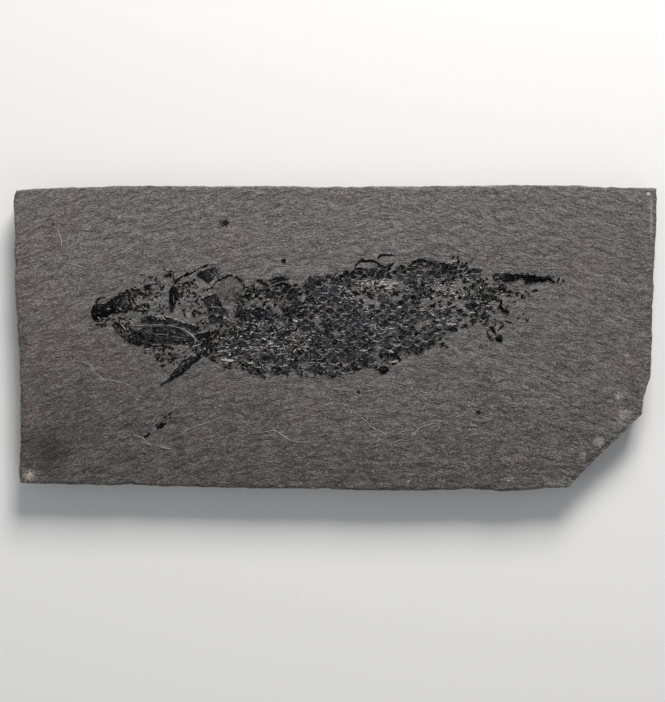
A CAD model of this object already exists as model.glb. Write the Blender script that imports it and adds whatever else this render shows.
"""The looks of a flagstone slab with a fossil lobe-finned fish in its upper face.

The frame gives the slab and the place of every bone. This script lays a finely
broken stone over the slab, carves each bone in low relief, strews the flank with
separate scales and lights the whole on a pale floor. Sizes in the tables are in
millimetres, and MM brings them to metres.
"""

from __future__ import annotations

import logging
import math
import random
from collections.abc import Sequence
from dataclasses import dataclass
from enum import Enum

import bmesh
import bpy
import numpy as np
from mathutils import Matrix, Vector, kdtree, noise


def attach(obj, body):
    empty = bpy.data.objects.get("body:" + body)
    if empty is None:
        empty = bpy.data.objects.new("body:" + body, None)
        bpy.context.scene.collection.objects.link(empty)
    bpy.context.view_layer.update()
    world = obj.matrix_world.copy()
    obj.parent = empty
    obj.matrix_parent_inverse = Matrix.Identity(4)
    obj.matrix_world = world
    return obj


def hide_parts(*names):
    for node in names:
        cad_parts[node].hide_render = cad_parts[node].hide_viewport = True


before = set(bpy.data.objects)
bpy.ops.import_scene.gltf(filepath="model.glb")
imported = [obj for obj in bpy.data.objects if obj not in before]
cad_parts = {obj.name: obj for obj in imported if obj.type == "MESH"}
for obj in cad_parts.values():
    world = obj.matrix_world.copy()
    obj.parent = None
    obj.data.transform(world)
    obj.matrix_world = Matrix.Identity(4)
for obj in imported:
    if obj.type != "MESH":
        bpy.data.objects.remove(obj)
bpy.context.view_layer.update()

MM = 0.001

# The slab's driving sizes, as in the frame.
THICKNESS = 10.0
SWELL = 0.15
SWELL_LENGTH = 40.0
RIM = 0.5
FOOT = 0.5
LAYER_TOPS = (2.8, 4.9, 7.4, 9.5)
LAYER_INSETS = (0.7, 0.2, 0.5, 0.0)
LAYER_WAVES = (0.4, 0.45, 0.45, 0.15)
WAVE_LENGTH = 14.0
BREAK_START = Vector((90.6, -22.6))
BREAK_END = Vector((69.2, -44.0))
BREAK_REACH = 3.0

# The outline in four sides, each from corner to corner, clockwise from the top left.
TOP_SIDE = [
    (-94.3, 43.7), (-81, 44.4), (-54.7, 45), (-28, 44.9), (4, 44.6), (47, 45.1), (71, 45.1), (78, 44.6),
    (95, 44.3),
]
RIGHT_SIDE = [
    (95, 44.3), (95.1, 41), (94.8, 30.8), (94.1, 22), (93.4, 2.4), (93, -11.7), (91.3, -17),
    (90.6, -22.6), (82.8, -30.2),
]
BOTTOM_SIDE = [
    (82.8, -30.2), (75.4, -37.2), (69.2, -44), (57.4, -44.8), (50, -45.2), (40, -44.5), (22, -45.1),
    (-10.5, -44.5), (-54.7, -43.6), (-88.7, -42.9), (-93, -42.6),
]
LEFT_SIDE = [
    (-93, -42.6), (-93.4, -39), (-92.8, -27), (-93.3, -5), (-94.6, 14), (-94.6, 29), (-95, 40),
    (-94.3, 43.7),
]
OUTLINE_MIDDLE = Vector((0.05, -0.05))

# The worn edge of the broken corner, and the low ripples of the upper face.
BREAK_WIDTH = 0.8
BREAK_DROP = 0.3
RIPPLE = 0.05

# Bones reach this far down into the stone, and small things a little less.
ROOT = THICKNESS - 0.45
SMALL_ROOT = ROOT + 0.2

# Which noise the ragged edges and the bends follow; unseeded, it would follow the clock.
NOISE_SEED = 1795458542

# The lattice of scales, as in the frame.
ROW = Vector((1.75, 1.3))
COLUMN = Vector((1.75, -1.3))

Point = tuple[float, float]
Colour = tuple[float, float, float]
Triple = tuple[float, float, float]
Thread = tuple[list[Point], float, float]
Socket = bpy.types.NodeSocket

log = logging.getLogger("fossil_fish_slab")


class Slot(Enum):
    """The record's material slots."""

    MATRIX = "matrix"
    BLACK = "black_bone"
    GREY = "grey_bone"
    SCALE = "scale_bone"
    PALE = "pale_bone"
    DOME = "dome_bone"


# ---- Lines and heights ----


def clamp(value: float) -> float:
    """Keeps a number between 0 and 1."""
    return max(0.0, min(1.0, value))


def wave(x: float, y: float, z: float, length: float = 1.0) -> float:
    """Gives smooth noise from about -1 to 1, with waves of the given length."""
    return noise.noise(Vector((x, y, z)) / length)


def face_height(x: float, y: float) -> float:
    """Gives the height of the slab's upper face at a place, in millimetres."""
    ripple = RIPPLE * wave(x * 0.16 + y * 0.05, y * 0.42, 3.0)
    return THICKNESS + SWELL * wave(x, y, 0.0, SWELL_LENGTH) + ripple


def smooth_line(rows: Sequence[tuple[float, ...]], step: float, closed: bool) -> np.ndarray:
    """Draws a smooth line through points by the Catmull-Rom rule.

    Args:
        rows: The points, with any further values to carry along.
        step: The spacing of the new points, in millimetres.
        closed: Whether the line runs back to its start.

    Returns:
        One row for each new point.
    """
    points = np.array(rows, float)
    count = len(points)
    made = []
    for i in range(count if closed else count - 1):
        if closed:
            a, b, c, d = (points[(i + k) % count] for k in (-1, 0, 1, 2))
        else:
            a, b, c, d = (points[min(max(i + k, 0), count - 1)] for k in (-1, 0, 1, 2))
        pieces = max(2, round(float(np.linalg.norm(c[:2] - b[:2])) / step))
        made += [0.5 * (2 * b + (c - a) * t + (2 * a - 5 * b + 4 * c - d) * t**2
                        + (3 * b - a - 3 * c + d) * t**3) for t in np.arange(pieces) / pieces]
    if not closed:
        made.append(points[-1])
    return np.array(made)


def bar_outline(stations: Sequence[Triple], step: float) -> np.ndarray:
    """Gives the outline of a bar from stations along its middle.

    Args:
        stations: Rows of x, y and half width.
        step: The spacing of the outline's points, in millimetres.

    Returns:
        The closed outline, one row of x and y for each point.
    """
    line = smooth_line(stations, step, closed=False)
    along = np.gradient(line[:, :2], axis=0)
    along /= np.linalg.norm(along, axis=1)[:, None]
    side = np.stack([-along[:, 1], along[:, 0]], axis=1) * line[:, 2:3]
    tips = along[[0, -1]] * line[[0, -1], 2:3]
    start, end = line[0, :2] - tips[0], line[-1, :2] + tips[1]
    left, right = line[:, :2] + side, line[::-1, :2] - side[::-1]
    return np.vstack([start, left, end, right])


def roughen(outline: np.ndarray, amount: float, length: float, seed: float) -> np.ndarray:
    """Makes an outline wander in and out.

    Args:
        outline: The closed outline.
        amount: How far it wanders, in millimetres.
        length: How long one turn is, in millimetres.
        seed: Which stretch of the noise is used.

    Returns:
        The ragged outline.
    """
    moved = []
    for x, y in outline:
        coarse = noise.noise_vector(Vector((x, y, seed)) / length)
        fine = noise.noise_vector(Vector((x, y, seed + 9.0)) / (length * 0.35))
        shift = (coarse + fine * 0.5) * amount
        moved.append((x + shift.x, y + shift.y))
    return np.array(moved)


def edge_distance(points: np.ndarray, outline: np.ndarray) -> np.ndarray:
    """Measures how far points are from an outline.

    Args:
        points: Rows of x and y.
        outline: The closed outline.

    Returns:
        One distance for each point.
    """
    start, end = outline, np.roll(outline, -1, axis=0)
    along = end - start
    square = np.maximum((along**2).sum(axis=1), 1e-12)
    found = np.full(len(points), np.inf)
    for first, step, length in zip(start, along, square):
        share = np.clip(((points - first) @ step) / length, 0.0, 1.0)
        gap = points - first - share[:, None] * step
        found = np.minimum(found, np.hypot(gap[:, 0], gap[:, 1]))
    return found


def inside(x: float, y: float, outline: list[Point]) -> bool:
    """Tells whether a point is inside an outline."""
    crossings = 0
    for (x1, y1), (x2, y2) in zip(outline, outline[1:] + outline[:1]):
        if (y1 > y) != (y2 > y):
            crossings += x < x1 + (y - y1) * (x2 - x1) / (y2 - y1)
    return crossings % 2 == 1


class Nearby:
    """Finds the nearest of some points, seen from above."""

    def __init__(self, points: Sequence[Sequence[float]]) -> None:
        """Sorts the points, of which only x and y count."""
        self.tree = kdtree.KDTree(len(points))
        for i, point in enumerate(points):
            self.tree.insert(Vector((point[0], point[1], 0.0)), i)
        self.tree.balance()

    def find(self, x: float, y: float) -> tuple[int, float]:
        """Gives the nearest point's number and its distance."""
        return self.tree.find(Vector((x, y, 0.0)))[1:]


# ---- Meshes and the bench: primitives, edit mode and modifiers ----


def positions(mesh: bpy.types.Mesh) -> np.ndarray:
    """Reads a mesh's points in millimetres, one row each."""
    flat = np.empty(len(mesh.vertices) * 3)
    mesh.vertices.foreach_get("co", flat)
    return flat.reshape(-1, 3) / MM


def set_positions(mesh: bpy.types.Mesh, points: np.ndarray) -> None:
    """Writes a mesh's points, given in millimetres."""
    mesh.vertices.foreach_set("co", (points * MM).ravel())
    mesh.update()


def set_values(mesh: bpy.types.Mesh, **attributes: np.ndarray) -> None:
    """Writes one number for each point of a mesh under each name."""
    for name, values in attributes.items():
        attribute = mesh.attributes.new(name, "FLOAT", "POINT")
        attribute.data.foreach_set("value", np.asarray(values, np.float32))


def link(name: str, data: bpy.types.ID) -> bpy.types.Object:
    """Puts a mesh, curve, light or camera into the scene."""
    obj = bpy.data.objects.new(name, data)
    bpy.context.scene.collection.objects.link(obj)
    return obj


class Bench:
    """Models pieces with Blender's own operators."""

    @staticmethod
    def take(obj: bpy.types.Object | None) -> None:
        """Selects one object, or none, and nothing else."""
        for other in bpy.context.selected_objects:
            other.select_set(False)
        if obj:
            obj.select_set(True)
            bpy.context.view_layer.objects.active = obj

    @classmethod
    def disc(cls, name: str, sides: int, radius: float) -> bpy.types.Object:
        """Adds a flat round face and returns it."""
        cls.take(None)
        bpy.ops.mesh.primitive_circle_add(vertices=sides, radius=radius, fill_type="NGON")
        obj = bpy.context.active_object
        obj.name = obj.data.name = name
        return obj

    @classmethod
    def enter(cls, obj: bpy.types.Object) -> None:
        """Takes a piece into edit mode with all of it selected."""
        cls.take(obj)
        bpy.ops.object.mode_set(mode="EDIT")
        bpy.ops.mesh.select_all(action="SELECT")

    @staticmethod
    def leave() -> None:
        """Turns all faces outwards and leaves edit mode."""
        bpy.ops.mesh.select_all(action="SELECT")
        bpy.ops.mesh.normals_make_consistent(inside=False)
        bpy.ops.object.mode_set(mode="OBJECT")

    @staticmethod
    def raise_faces(height: float) -> None:
        """Extrudes the selected faces upwards, by a height in metres."""
        bpy.ops.mesh.extrude_region_move(TRANSFORM_OT_translate={"value": (0, 0, height)})

    @classmethod
    def plate(cls, name: str, outline: np.ndarray, depth: float, voxel: float) -> bpy.types.Object:
        """Models a closed plate with an even skin, standing on the root's height.

        Args:
            name: The object's name.
            outline: The closed outline, in millimetres.
            depth: How thick it is, in millimetres.
            voxel: The size of its faces, in millimetres.

        Returns:
            The plate.
        """
        obj = cls.disc(name, len(outline), MM)
        set_positions(obj.data, np.hstack([outline, np.full((len(outline), 1), ROOT)]))
        cls.enter(obj)
        cls.raise_faces(depth * MM)
        cls.leave()
        cls.take(obj)
        modifier = obj.modifiers.new("skin", "REMESH")
        modifier.mode = "VOXEL"
        modifier.voxel_size = voxel * MM
        modifier.adaptivity = 0.0
        bpy.ops.object.modifier_apply(modifier=modifier.name)
        return obj

    @classmethod
    def smooth(cls, obj: bpy.types.Object, angle: float | None = None) -> None:
        """Shades a piece smooth, all over or up to an angle in degrees."""
        cls.take(obj)
        if angle is None:
            bpy.ops.object.shade_smooth()
        else:
            bpy.ops.object.shade_smooth_by_angle(angle=math.radians(angle))


# ---- Finishes ----


@dataclass(frozen=True)
class Grain:
    """One layer of grain: its turn in degrees and how fine it is each way."""

    turn: float
    fineness: Triple
    detail: float = 1.0
    roughness: float = 0.7
    distortion: float = 0.0


class Nodes:
    """Short calls for one node tree."""

    def __init__(self, tree: bpy.types.NodeTree) -> None:
        """Keeps the tree."""
        self.tree = tree

    def add(self, kind: str, **settings: object) -> bpy.types.Node:
        """Adds a node and sets its properties."""
        node = self.tree.nodes.new(kind)
        for key, value in settings.items():
            setattr(node, key, value)
        return node

    def put(self, socket: Socket, value: object) -> None:
        """Links a socket to an input, or sets the input's value."""
        if isinstance(value, Socket):
            self.tree.links.new(value, socket)
        else:
            socket.default_value = value

    def fill_in(self, node: bpy.types.Node, **inputs: object) -> bpy.types.Node:
        """Fills a node's inputs by name, with _ for a space, and returns it."""
        for key, value in inputs.items():
            self.put(node.inputs[key.replace("_", " ")], value)
        return node

    def math(self, operation: str, *values: object, clamp: bool = False) -> Socket:
        """Adds a Math node and returns its result."""
        node = self.add("ShaderNodeMath", operation=operation, use_clamp=clamp)
        for socket, value in zip(node.inputs, values):
            self.put(socket, value)
        return node.outputs[0]

    def vector(self, operation: str, *values: object) -> Socket:
        """Adds a Vector Math node and returns its result."""
        node = self.add("ShaderNodeVectorMath", operation=operation)
        for socket, value in zip(node.inputs, values):
            self.put(socket, value)
        return node.outputs["Value" if operation in ("LENGTH", "DOT_PRODUCT") else "Vector"]

    def scale(self, vector: object, factor: object) -> Socket:
        """Multiplies a vector by a number."""
        node = self.add("ShaderNodeVectorMath", operation="SCALE")
        self.put(node.inputs[0], vector)
        return self.fill_in(node, Scale=factor).outputs["Vector"]

    def in_mm(self, vector: object) -> Socket:
        """Brings a place from metres to millimetres."""
        return self.scale(vector, 1.0 / MM)

    def turn(self, vector: object, degrees: float, scale: Triple) -> Socket:
        """Turns coordinates about Z, then stretches them."""
        node = self.add("ShaderNodeMapping", vector_type="POINT")
        turned = self.fill_in(node, Vector=vector, Rotation=(0.0, 0.0, math.radians(degrees)))
        return self.vector("MULTIPLY", turned.outputs[0], scale)

    def noise(self, vector: object, scale: object, detail: float = 2.0,
              roughness: float = 0.5, distortion: float = 0.0) -> Socket:
        """Adds a Noise texture and returns its value."""
        return self.fill_in(
            self.add("ShaderNodeTexNoise"), Vector=vector, Scale=scale, Detail=detail,
            Roughness=roughness, Distortion=distortion).outputs[0]

    def grain(self, place: object, grain: Grain) -> Socket:
        """Adds a layer of grain to a place in millimetres and returns its value."""
        return self.noise(self.turn(place, grain.turn, grain.fineness), 1.0, grain.detail,
                          grain.roughness, grain.distortion)

    def span(self, value: object, low: object, high: object, to_low: float = 0.0,
             to_high: float = 1.0) -> Socket:
        """Maps a range to another one, smoothly and clamped."""
        node = self.add("ShaderNodeMapRange", interpolation_type="SMOOTHSTEP", clamp=True)
        return self.fill_in(node, Value=value, From_Min=low, From_Max=high, To_Min=to_low,
                            To_Max=to_high).outputs[0]

    def mix(self, share: object, first: object, second: object) -> Socket:
        """Mixes two colours and returns the result."""
        node = self.add("ShaderNodeMix", data_type="RGBA")
        self.put(node.inputs[0], share)
        for socket, value in ((node.inputs[6], first), (node.inputs[7], second)):
            self.put(socket, (*value, 1.0) if isinstance(value, tuple) else value)
        return node.outputs[2]

    def fade(self, colour: object, share: object) -> Socket:
        """Greys a colour by a share."""
        node = self.add("ShaderNodeHueSaturation")
        self.fill_in(node, Saturation=self.math("SUBTRACT", 1.0, share), Color=colour)
        return node.outputs["Color"]

    def attribute(self, name: str) -> Socket:
        """Reads a named attribute of the piece as a number."""
        return self.add("ShaderNodeAttribute", attribute_name=name).outputs["Fac"]

    def group(self, tree: bpy.types.NodeTree, **inputs: object) -> dict[str, Socket]:
        """Places a node group, fills its inputs by name and returns its outputs."""
        node = self.add("ShaderNodeGroup", node_tree=tree)
        return dict(self.fill_in(node, **inputs).outputs.items())


class Group(Nodes):
    """A shader node group in the making, with named inputs and outputs."""

    KINDS = {"Vector": "NodeSocketVector", "Centre": "NodeSocketVector",
             "Reach": "NodeSocketVector", "Colour": "NodeSocketColor"}

    def __init__(self, name: str, inputs: dict[str, object], outputs: tuple[str, ...]) -> None:
        """Makes the sockets.

        Args:
            name: The group's name.
            inputs: The value of each input, or None for the socket's own.
            outputs: The names of the outputs.
        """
        super().__init__(bpy.data.node_groups.new(name, "ShaderNodeTree"))
        for key, value in inputs.items():
            socket = self.add_socket(key, "INPUT")
            if value is not None:
                socket.default_value = value
        for key in outputs:
            self.add_socket(key, "OUTPUT")
        self.entry = dict(self.add("NodeGroupInput").outputs.items())
        self.exit = self.add("NodeGroupOutput")

    def add_socket(self, key: str, in_out: str) -> bpy.types.NodeTreeInterfaceSocket:
        """Adds an input or an output by name."""
        return self.tree.interface.new_socket(
            name=key, in_out=in_out, socket_type=self.KINDS.get(key, "NodeSocketFloat"))

    def give(self, **values: Socket) -> bpy.types.NodeTree:
        """Feeds the outputs by name and returns the group."""
        self.fill_in(self.exit, **values)
        return self.tree


@dataclass(frozen=True)
class Palette:
    """The colours that the finishes share."""

    stone_warm: Colour = (0.128, 0.110, 0.100)
    stone_cool: Colour = (0.119, 0.115, 0.107)
    stone_dark: Colour = (0.022, 0.020, 0.019)
    stone_light: Colour = (0.33, 0.32, 0.30)
    stone_dust: Colour = (0.27, 0.255, 0.235)
    film: Colour = (0.026, 0.025, 0.026)
    black: Colour = (0.0006, 0.0006, 0.0008)
    soot: Colour = (0.0035, 0.0035, 0.0042)
    slate: Colour = (0.030, 0.028, 0.031)
    plum: Colour = (0.007, 0.006, 0.007)
    blue_black: Colour = (0.0010, 0.0011, 0.0016)
    enamel: Colour = (0.0185, 0.0180, 0.0245)
    edge: Colour = (0.42, 0.415, 0.40)
    dust: Colour = (0.120, 0.119, 0.122)
    dome: Colour = (0.050, 0.049, 0.050)


class Effects:
    """The node groups that several finishes share."""

    # The grain follows wide arcs, level in the middle and falling to both sides.
    ARCH = 0.0019
    # How the arcs are bent further: how fine the bends are, and how far they go in millimetres.
    BENDS = 0.16
    BEND_REACH = 3.0
    # The layers of the stone's grain, from coarse to fine, and each fine one's share.
    RELIEF = Grain(-4.0, (0.19, 0.42, 0.42), 4.0, 0.66)
    FLAKES = Grain(-6.0, (0.36, 0.95, 0.95), 2.0)
    GRIT = Grain(2.0, (1.5, 3.9, 3.9))
    SAND = Grain(12.0, (3.4, 4.6, 4.6))
    FLAKE_SHARE, GRIT_SHARE, SAND_SHARE = 0.24, 0.40, 0.36
    # Along these the stone turns darker, and warmer, in colour a metre.
    DARKER_ALONG = (0.3, -7.0, 0.0)
    WARMER_ALONG = (-1.2, -3.2, 0.0)

    def __init__(self, palette: Palette) -> None:
        """Makes the groups.

        Args:
            palette: The shared colours.
        """
        self.palette = palette
        self.cleavage = self.make_cleavage()
        self.stone = self.make_stone()
        self.crumbs = self.make_crumbs()
        self.wrinkles = self.make_wrinkles()
        self.spot = self.make_spot()

    def make_cleavage(self) -> bpy.types.NodeTree:
        """Makes the wavy grain that splitting leaves on the stone."""
        group = Group("cleavage", {"Vector": None}, ("Tone", "Height"))
        place = group.in_mm(group.entry["Vector"])
        split = group.fill_in(group.add("ShaderNodeSeparateXYZ"), Vector=place).outputs
        square = group.math("MULTIPLY", split["X"], split["X"])
        arched = group.math("MULTIPLY_ADD", square, self.ARCH, split["Y"])
        joined = group.fill_in(
            group.add("ShaderNodeCombineXYZ"), X=split["X"], Y=arched, Z=split["Z"])
        warp = group.fill_in(group.add("ShaderNodeTexNoise"), Vector=place, Scale=self.BENDS)
        centred = group.vector("SUBTRACT", warp.outputs["Color"], (0.5, 0.5, 0.5))
        bent = group.vector("ADD", joined.outputs[0], group.scale(centred, self.BEND_REACH))
        height, flake, grit, sand = (
            group.grain(bent, grain) for grain in (self.RELIEF, self.FLAKES, self.GRIT, self.SAND))
        tone = group.math("MULTIPLY_ADD", flake, self.FLAKE_SHARE,
                          group.math("MULTIPLY", grit, self.GRIT_SHARE))
        tone = group.math("MULTIPLY_ADD", sand, self.SAND_SHARE, tone)
        return group.give(Tone=group.span(tone, 0.385, 0.615), Height=height)

    def make_stone(self) -> bpy.types.NodeTree:
        """Makes the mottled, grainy colour of the stone."""
        group = Group("stone_skin", {"Vector": None}, ("Colour", "Tone", "Height"))
        palette, place = self.palette, group.entry["Vector"]
        grain = group.group(self.cleavage, Vector=place)
        warmth = group.vector("DOT_PRODUCT", place, self.WARMER_ALONG)
        mottle = group.math("SUBTRACT", group.noise(place, 62.0, 3.0, 0.55, 0.4), warmth)
        body = group.mix(group.span(mottle, 0.42, 0.62), palette.stone_warm, palette.stone_cool)
        drift = group.vector("DOT_PRODUCT", place, self.DARKER_ALONG)
        murk = group.math("MULTIPLY_ADD", drift, 0.95, group.noise(place, 150.0, 2.0, 0.5))
        for value, low, high, to_low, to_high, colour in (
                (murk, 0.25, 0.95, 0.0, 0.5, palette.stone_dark),
                (grain["Tone"], 0.0, 0.5, 0.62, 0.0, palette.stone_dark),
                (grain["Tone"], 0.5, 1.0, 0.0, 0.52, palette.stone_light)):
            body = group.mix(group.span(value, low, high, to_low, to_high), body, colour)
        return group.give(Colour=body, Tone=grain["Tone"], Height=grain["Height"])

    def make_crumbs(self) -> bpy.types.NodeTree:
        """Makes ragged spots where one material shows through another."""
        group = Group("crumbs", {"Vector": None, "Scale": 1.0, "Amount": 0.5}, ("Mask",))
        place = group.in_mm(group.entry["Vector"])
        spots = group.noise(place, group.entry["Scale"], 3.0, 0.6, 0.6)
        level = group.math("MULTIPLY_ADD", group.entry["Amount"], 0.5, -0.75)
        return group.give(Mask=group.span(group.math("ADD", spots, level), -0.04, 0.05))

    def make_wrinkles(self) -> bpy.types.NodeTree:
        """Makes thin broken lines, as on crushed bone."""
        group = Group("wrinkles", {"Vector": None, "Scale": 1.0, "Width": 0.03, "Amount": 0.5},
                      ("Mask",))
        entry, place = group.entry, group.in_mm(group.entry["Vector"])
        curl = group.noise(group.turn(place, -6.0, (0.6, 1.25, 1.0)), entry["Scale"],
                           1.0, 0.5, 0.9)
        away = group.math("ABSOLUTE", group.math("SUBTRACT", curl, 0.5))
        line = group.math("SUBTRACT", 1.0, group.span(away, 0.0, entry["Width"]))
        level = group.math("SUBTRACT", 0.80, group.math("MULTIPLY", entry["Amount"], 0.55))
        broken = group.noise(place, 0.9, 2.0, 0.6)
        kept = group.span(broken, group.math("SUBTRACT", level, 0.06), level)
        return group.give(Mask=group.math("MULTIPLY", line, kept))

    def make_spot(self) -> bpy.types.NodeTree:
        """Makes one ragged spot on the stone, an ellipse about a place."""
        group = Group("spot", {"Vector": None, "Centre": None, "Reach": None, "Ragged": 0.3,
                               "Softness": 0.2}, ("Mask",))
        entry = group.entry
        moved = group.vector("SUBTRACT", entry["Vector"], entry["Centre"])
        distance = group.vector("LENGTH", group.vector("DIVIDE", moved, entry["Reach"]))
        wander = group.math("SUBTRACT", group.noise(entry["Vector"], 1600.0, 3.0, 0.6), 0.5)
        edge = group.math("MULTIPLY_ADD", wander, entry["Ragged"], distance)
        falling = group.math("SUBTRACT", 1.0, edge)
        return group.give(Mask=group.math("DIVIDE", falling, entry["Softness"], clamp=True))


class Skin(Nodes):
    """The nodes of one material."""

    def __init__(self, material: bpy.types.Material, effects: Effects) -> None:
        """Finds the shader and the object coordinates.

        Args:
            material: The new material.
            effects: The shared groups.
        """
        material.use_nodes = True
        super().__init__(material.node_tree)
        self.effects = effects
        self.shader = material.node_tree.nodes["Principled BSDF"]
        self.place = self.add("ShaderNodeTexCoord").outputs["Object"]

    def mask(self, tree: bpy.types.NodeTree, **inputs: object) -> Socket:
        """Places a group at the piece's own coordinates and returns its mask."""
        return self.group(tree, **{"Vector": self.place, **inputs})["Mask"]

    def cover(self, colour: object, mask: object, strength: float, other: object) -> Socket:
        """Lays another colour where a mask is, by a strength."""
        return self.mix(self.math("MULTIPLY", mask, strength), colour, other)

    def finish(self, colour: Socket, roughness: Socket, specular: float, height: Socket,
               depth: float) -> None:
        """Feeds the shader.

        Args:
            colour: The base colour.
            roughness: The roughness.
            specular: The level of specular light.
            height: The fine relief, from 0 to 1.
            depth: How deep that relief is, in millimetres.
        """
        bump = self.fill_in(self.add("ShaderNodeBump"), Strength=1.0, Distance=depth * MM,
                            Height=height)
        self.fill_in(self.shader, Base_Color=colour, Roughness=roughness,
                     Specular_IOR_Level=specular, Normal=bump.outputs["Normal"])


@dataclass(frozen=True)
class Spot:
    """A flat spot of colour on the stone, in millimetres."""

    x: float
    y: float
    reach: Point
    colour: Colour
    strength: float
    ragged: float
    softness: float


INK = (0.003, 0.003, 0.003)
CHALK = (0.36, 0.345, 0.32)
PALE_CHALK = (0.42, 0.41, 0.385)
SHADE = (0.024, 0.020, 0.018)
SPOT_DEPTH = 3.0

STONE_SPOTS = [
    Spot(-32.6, 34, (1.6, 1.2), (0.006, 0.005, 0.005), 1, 2.4, 0.3),
    Spot(-15.3, 22.8, (0.85, 0.8), INK, 1, 0.5, 0.1),
    Spot(6.8, -15.9, (0.6, 0.6), INK, 1, 0.8, 0.2),
    Spot(42.2, -21.9, (0.95, 0.65), INK, 1, 0.8, 0.2),
    Spot(-83.3, 33.7, (0.7, 0.6), (0.02, 0.019, 0.018), 0.8, 1.6, 0.4),
    Spot(30, -14.8, (0.3, 1.2), (0.05, 0.025, 0.02), 0.9, 1, 0.6),
    Spot(27.5, -10.8, (9, 2.6), (0.1, 0.07, 0.062), 0.55, 2.4, 1),
    Spot(29.5, -12.2, (5, 0.2), (0.05, 0.03, 0.026), 0.5, 1, 0.8),
    Spot(80.6, 24, (0.5, 8.5), (0.17, 0.125, 0.115), 0.55, 1.2, 0.7),
    Spot(82.6, 8, (0.5, 8), (0.16, 0.12, 0.11), 0.4, 1.2, 0.7),
    Spot(-90.3, -40.4, (2, 2.2), (0.62, 0.54, 0.45), 0.8, 4, 0.9),
    Spot(-84.5, -32.4, (9, 8), (0.016, 0.015, 0.014), 0.75, 2.2, 0.9),
    Spot(83.6, -17.2, (1.8, 1.2), PALE_CHALK, 0.7, 3, 0.9),
    Spot(84.4, -23.3, (1.2, 3), CHALK, 0.5, 3.5, 0.9),
    Spot(51, -41.5, (2.2, 0.8), PALE_CHALK, 0.7, 3, 0.9),
    Spot(66, -43, (5, 0.7), CHALK, 0.5, 3, 0.9),
    Spot(23, -28.2, (1, 0.7), CHALK, 0.6, 2.4, 0.9),
    Spot(21.5, -42.3, (0.35, 0.8), (0.45, 0.44, 0.42), 0.8, 0.8, 0.6),
    Spot(93.2, 36, (0.5, 8), (0.42, 0.4, 0.38), 0.5, 1.6, 0.8),
    Spot(92.3, 42.5, (0.8, 0.7), (0.48, 0.46, 0.43), 0.8, 1.6, 0.6),
    Spot(-71.7, -8.6, (0.8, 1), (0.33, 0.32, 0.3), 0.5, 2, 0.9),
    Spot(-55.4, -31.1, (1.6, 0.5), (0.36, 0.36, 0.32), 0.6, 2, 0.9),
    Spot(-85, -40, (95, 66), SHADE, 0.34, 0.3, 1),
    Spot(90, 30, (80, 60), (0.022, 0.02, 0.019), 0.12, 0.3, 1),
    Spot(20, -50, (95, 34), SHADE, 0.28, 0.3, 1),
]


@dataclass(frozen=True)
class StoneFinish:
    """The flagstone's split face, its broken sides and the film round the fish."""

    name: str = "flagstone"
    faded: float = 0.45
    film: float = 0.8
    scratched: float = 0.6
    banded: float = 0.6
    dusty: float = 0.6
    specular: float = 0.25
    grain_depth: float = 1.5

    def fill(self, skin: Skin) -> None:
        """Builds the nodes.

        Args:
            skin: The material's nodes.
        """
        effects, palette = skin.effects, skin.effects.palette
        stone = skin.group(effects.stone, Vector=skin.place)
        colour = stone["Colour"]
        for spot in STONE_SPOTS:
            mask = skin.mask(
                effects.spot, Centre=(spot.x * MM, spot.y * MM, THICKNESS * MM),
                Reach=(spot.reach[0] * MM, spot.reach[1] * MM, SPOT_DEPTH * MM),
                Ragged=spot.ragged, Softness=spot.softness)
            colour = skin.cover(colour, mask, spot.strength, spot.colour)
        colour = skin.fade(colour, skin.math("MULTIPLY", skin.attribute("wash"), self.faded))
        round_fish = skin.attribute("film")
        film = skin.mask(effects.crumbs, Scale=1.1, Amount=round_fish)
        colour = skin.cover(colour, film, self.film, palette.film)
        scratches = skin.mask(effects.wrinkles, Scale=0.9, Width=0.035, Amount=round_fish)
        colour = skin.cover(colour, scratches, self.scratched, palette.edge)
        flat = skin.vector("MULTIPLY", skin.place, (60.0, 60.0, 1900.0))
        strata = skin.span(skin.noise(flat, 1.0, 3.0, 0.6, 0.3), 0.35, 0.62)
        bands = skin.mix(strata, palette.stone_dark, palette.stone_warm)
        colour = skin.cover(colour, skin.attribute("side"), self.banded, bands)
        fresh = skin.mask(effects.crumbs, Scale=0.9, Amount=skin.attribute("fresh"))
        colour = skin.cover(colour, fresh, self.dusty, palette.stone_dust)
        skin.finish(colour, skin.span(stone["Tone"], 0.0, 1.0, 0.70, 0.90), self.specular,
                    stone["Height"], self.grain_depth)


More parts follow.
